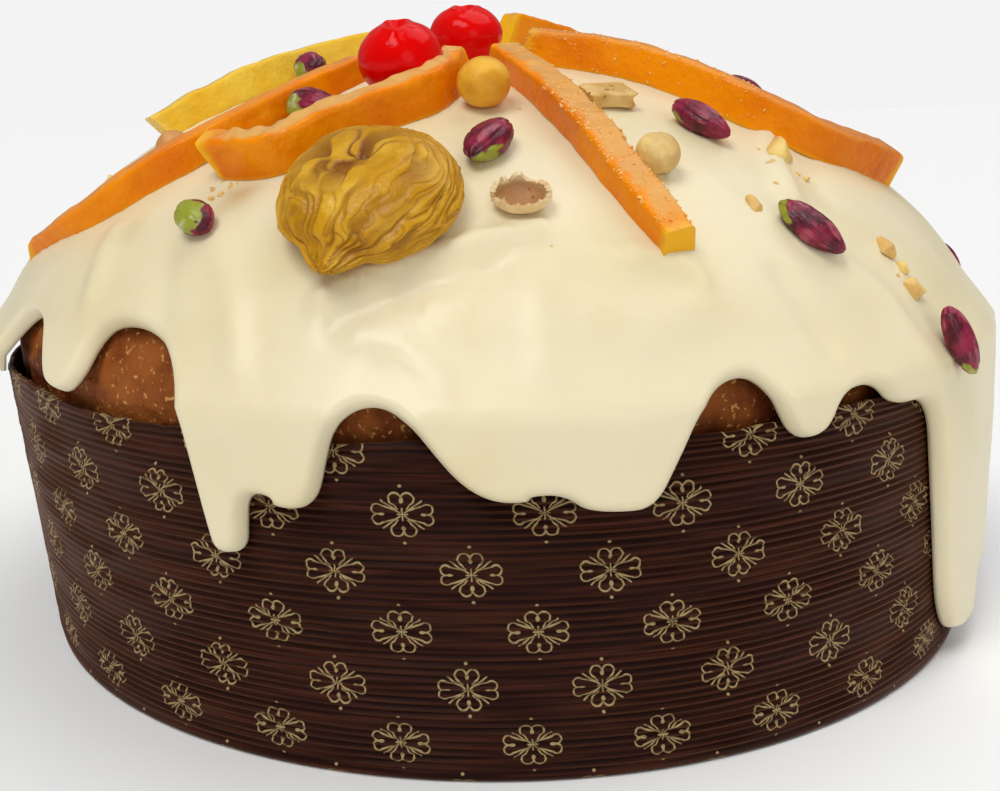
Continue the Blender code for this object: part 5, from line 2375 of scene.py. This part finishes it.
@dataclass
class Chips:
    """Chopped nut and crumbs set in the icing."""

    # Azimuth, radius and longest side in mm
    chips: tuple[tuple[float, float, float], ...] = (
        (-68.6, 38.5, 4.2), (-44.5, 78.0, 6.2), (-47.8, 80.0, 3.0), (-50.8, 85.2, 2.8),
        (-57.4, 88.4, 3.6), (-41.2, 97.6, 4.0), (-40.7, 100.6, 2.6), (-41.4, 103.0, 3.8),
        (-36.6, 106.4, 2.8), (18, 48, 4.6), (33, 96, 3.6), (68, 90, 4.4), (88, 96, 3.4),
        (118, 60, 4.6), (150, 88, 4.0), (176, 88, 4.4), (-3, 76, 4.0),
    )
    # Crumbs: azimuth and radius of their middle, spread and how many
    crumbs: tuple[tuple[float, float, float, int], ...] = (
        (-122.5, 80.0, 2.2, 12), (-57.0, 89.5, 1.8, 10), (-52.0, 86.0, 2.0, 6),
        (-80.5, 56.5, 1.5, 6), (-44.0, 81.0, 2.5, 6), (-41.0, 102.0, 2.5, 6),
        (68.0, 91.0, 3.0, 8), (118.0, 62.0, 3.0, 6), (150.0, 89.0, 3.0, 6),
        (18.0, 50.0, 3.0, 6), (-85.0, 86.0, 4.5, 5),
    )
    crumb_sizes: tuple[float, float] = (0.5, 1.3)
    tilt: float = 0.5

    @staticmethod
    def seed_chip(seed: int) -> Object:
        """An angular chip one metre long, with blunt edges.

        Args:
            seed: Chooses its form.

        Returns:
            The chip, to be placed many times.
        """
        made = cube("seed_chip")
        edit(made, "EDGE")
        for plane in ((1.0, 0.4, 0.8), (-0.7, 0.9, 0.5), (0.2, -1.0, 0.7)):
            bpy.ops.mesh.select_all(action="SELECT")
            cut = Vector(plane).normalized() * (0.42 + 0.04 * seed)
            bpy.ops.mesh.bisect(plane_co=cut, plane_no=plane, use_fill=True, clear_outer=True)
        bpy.ops.mesh.select_all(action="SELECT")
        bpy.ops.mesh.bevel(offset=0.05, segments=1, affect="EDGES")
        bpy.ops.mesh.normals_make_consistent(inside=False)
        bpy.ops.object.mode_set(mode="OBJECT")
        points = positions(made)
        points *= (1 + 0.25 * wobble(points + seed, 0.6, seed))[:, None]
        set_positions(made, points * np.array([1.0, 0.72, 0.6]))
        return made

    def build(self, effects: SharedEffects) -> None:
        """Scatters the chips and crumbs, and hands them over.

        Args:
            effects: The effects that the finishes share.
        """
        draw = random.Random(5)
        places = []
        for azimuth, radius, size in self.chips:
            seat = LOAF.seat(azimuth, radius, draw.uniform(0, 360))
            lift = Matrix.Translation((0.0, 0.0, 0.12 * size * MM))
            tilt = Matrix.Rotation(draw.uniform(-self.tilt, self.tilt), 4, "Y")
            places.append(seat @ lift @ tilt @ Matrix.Scale(size * MM, 4))
        for azimuth, radius, spread, count in self.crumbs:
            for _ in range(count):
                seat = LOAF.seat(azimuth, radius, draw.uniform(0, 360))
                off = Matrix.Translation((draw.gauss(0, spread) * MM, draw.gauss(0, spread) * MM, 0.0))
                size = draw.uniform(*self.crumb_sizes) * MM
                places.append(seat @ off @ Matrix.Scale(size, 4))
        seeds = [self.seed_chip(seed) for seed in range(3)]
        made = scattered("nut_chips", seeds, places)
        paint(made, "hollow", np.zeros(len(made.data.vertices)))
        shade(made, 30)
        finish = NutFinish("chopped_nut", effects, flesh=(0.86, 0.62, 0.20),
                           shade=(0.70, 0.42, 0.13), skin_low=0.66)
        present(made, finish.make(), Slot.HAZELNUT)


# Stage


@dataclass(frozen=True)
class Studio:
    """The photograph's viewpoint, a pale floor and soft lights."""

    eye: tuple[float, float, float] = (0.0, -0.28945, 0.11202)
    look_down: float = 0.2413
    look_aside: float = -0.004
    roll: float = -0.02
    lens: float = 44.503
    sensor: float = 36.0
    surround: float = 0.26
    backdrop: float = 0.90
    floor_radius: float = 6.0

    def camera(self) -> None:
        """Sets the camera at the photograph's angle."""
        data = bpy.data.cameras.new("viewpoint")
        data.lens = self.lens
        data.sensor_width = self.sensor
        data.clip_start = 0.01
        camera = linked("viewpoint", data)
        down, aside = self.look_down, self.look_aside
        ahead = Vector((math.cos(down) * math.sin(aside), math.cos(down) * math.cos(aside),
                        -math.sin(down)))
        right = Vector((math.cos(aside), -math.sin(aside), 0.0))
        over = right.cross(ahead)
        turned_right = right * math.cos(self.roll) + over * math.sin(self.roll)
        turned_up = over * math.cos(self.roll) - right * math.sin(self.roll)
        axes = Matrix((turned_right, turned_up, -ahead)).transposed().to_4x4()
        axes.translation = Vector(self.eye)
        camera.matrix_world = axes
        bpy.context.scene.camera = camera

    @staticmethod
    def lamp(name: str, source: Sequence[float], spread: float, power: float) -> None:
        """Adds a wide soft light that falls on the whole floor alike.

        Args:
            name: The light's name.
            source: The direction that it comes from.
            spread: How wide it looks, in degrees.
            power: Its strength in watts for each square metre.
        """
        data = bpy.data.lights.new(name, "SUN")
        data.angle = math.radians(spread)
        data.energy = power
        light = linked(name, data)
        light.rotation_euler = Vector(source).to_track_quat("Z", "Y").to_euler()

    def build(self) -> None:
        """Makes the floor, the surrounding light, the lamps and the camera."""
        deselect_all()
        bpy.ops.mesh.primitive_circle_add(vertices=96, radius=self.floor_radius, fill_type="NGON")
        floor = bpy.context.object
        floor.name = "floor"
        pale = bpy.data.materials.new("pale_floor")
        pale.use_nodes = True
        Tree(pale.node_tree).fill(pale.node_tree.nodes["Principled BSDF"],
                                  Base_Color=(0.95, 0.95, 0.945), Roughness=0.8)
        floor.data.materials.append(pale)
        world = bpy.data.worlds.new("studio")
        world.use_nodes = True
        sky = Tree(world.node_tree)
        backdrop = world.node_tree.nodes["Background"]
        seen = sky.add("ShaderNodeMapRange")
        seen.inputs["To Min"].default_value = self.surround
        seen.inputs["To Max"].default_value = self.backdrop
        sky.feed(seen.inputs["Value"], sky.add("ShaderNodeLightPath").outputs["Is Camera Ray"])
        sky.feed(backdrop.inputs["Strength"], seen.outputs["Result"])
        backdrop.inputs["Color"].default_value = (1.0, 1.0, 1.0, 1.0)
        bpy.context.scene.world = world
        bpy.context.scene.view_settings.view_transform = "Standard"
        self.lamp("key", (-0.28, -0.50, 0.90), 30.0, 1.60)
        self.lamp("top", (0.38, 0.20, 1.00), 50.0, 0.95)
        self.lamp("front", (0.45, -1.00, 0.32), 40.0, 0.48)
        self.camera()


def main() -> None:
    """Builds the cake piece by piece, then the studio."""
    logging.basicConfig(level=logging.INFO, format="%(name)s: %(message)s")
    effects = SharedEffects()
    icing = Icing()
    for part in (PaperCase(), Crust(), icing, Peels(), Cherries(), Figs(), Pistachios(icing),
                 Hazelnuts(), Chips()):
        part.build(effects)
    Studio().build()


if __name__ == "__main__":
    main()
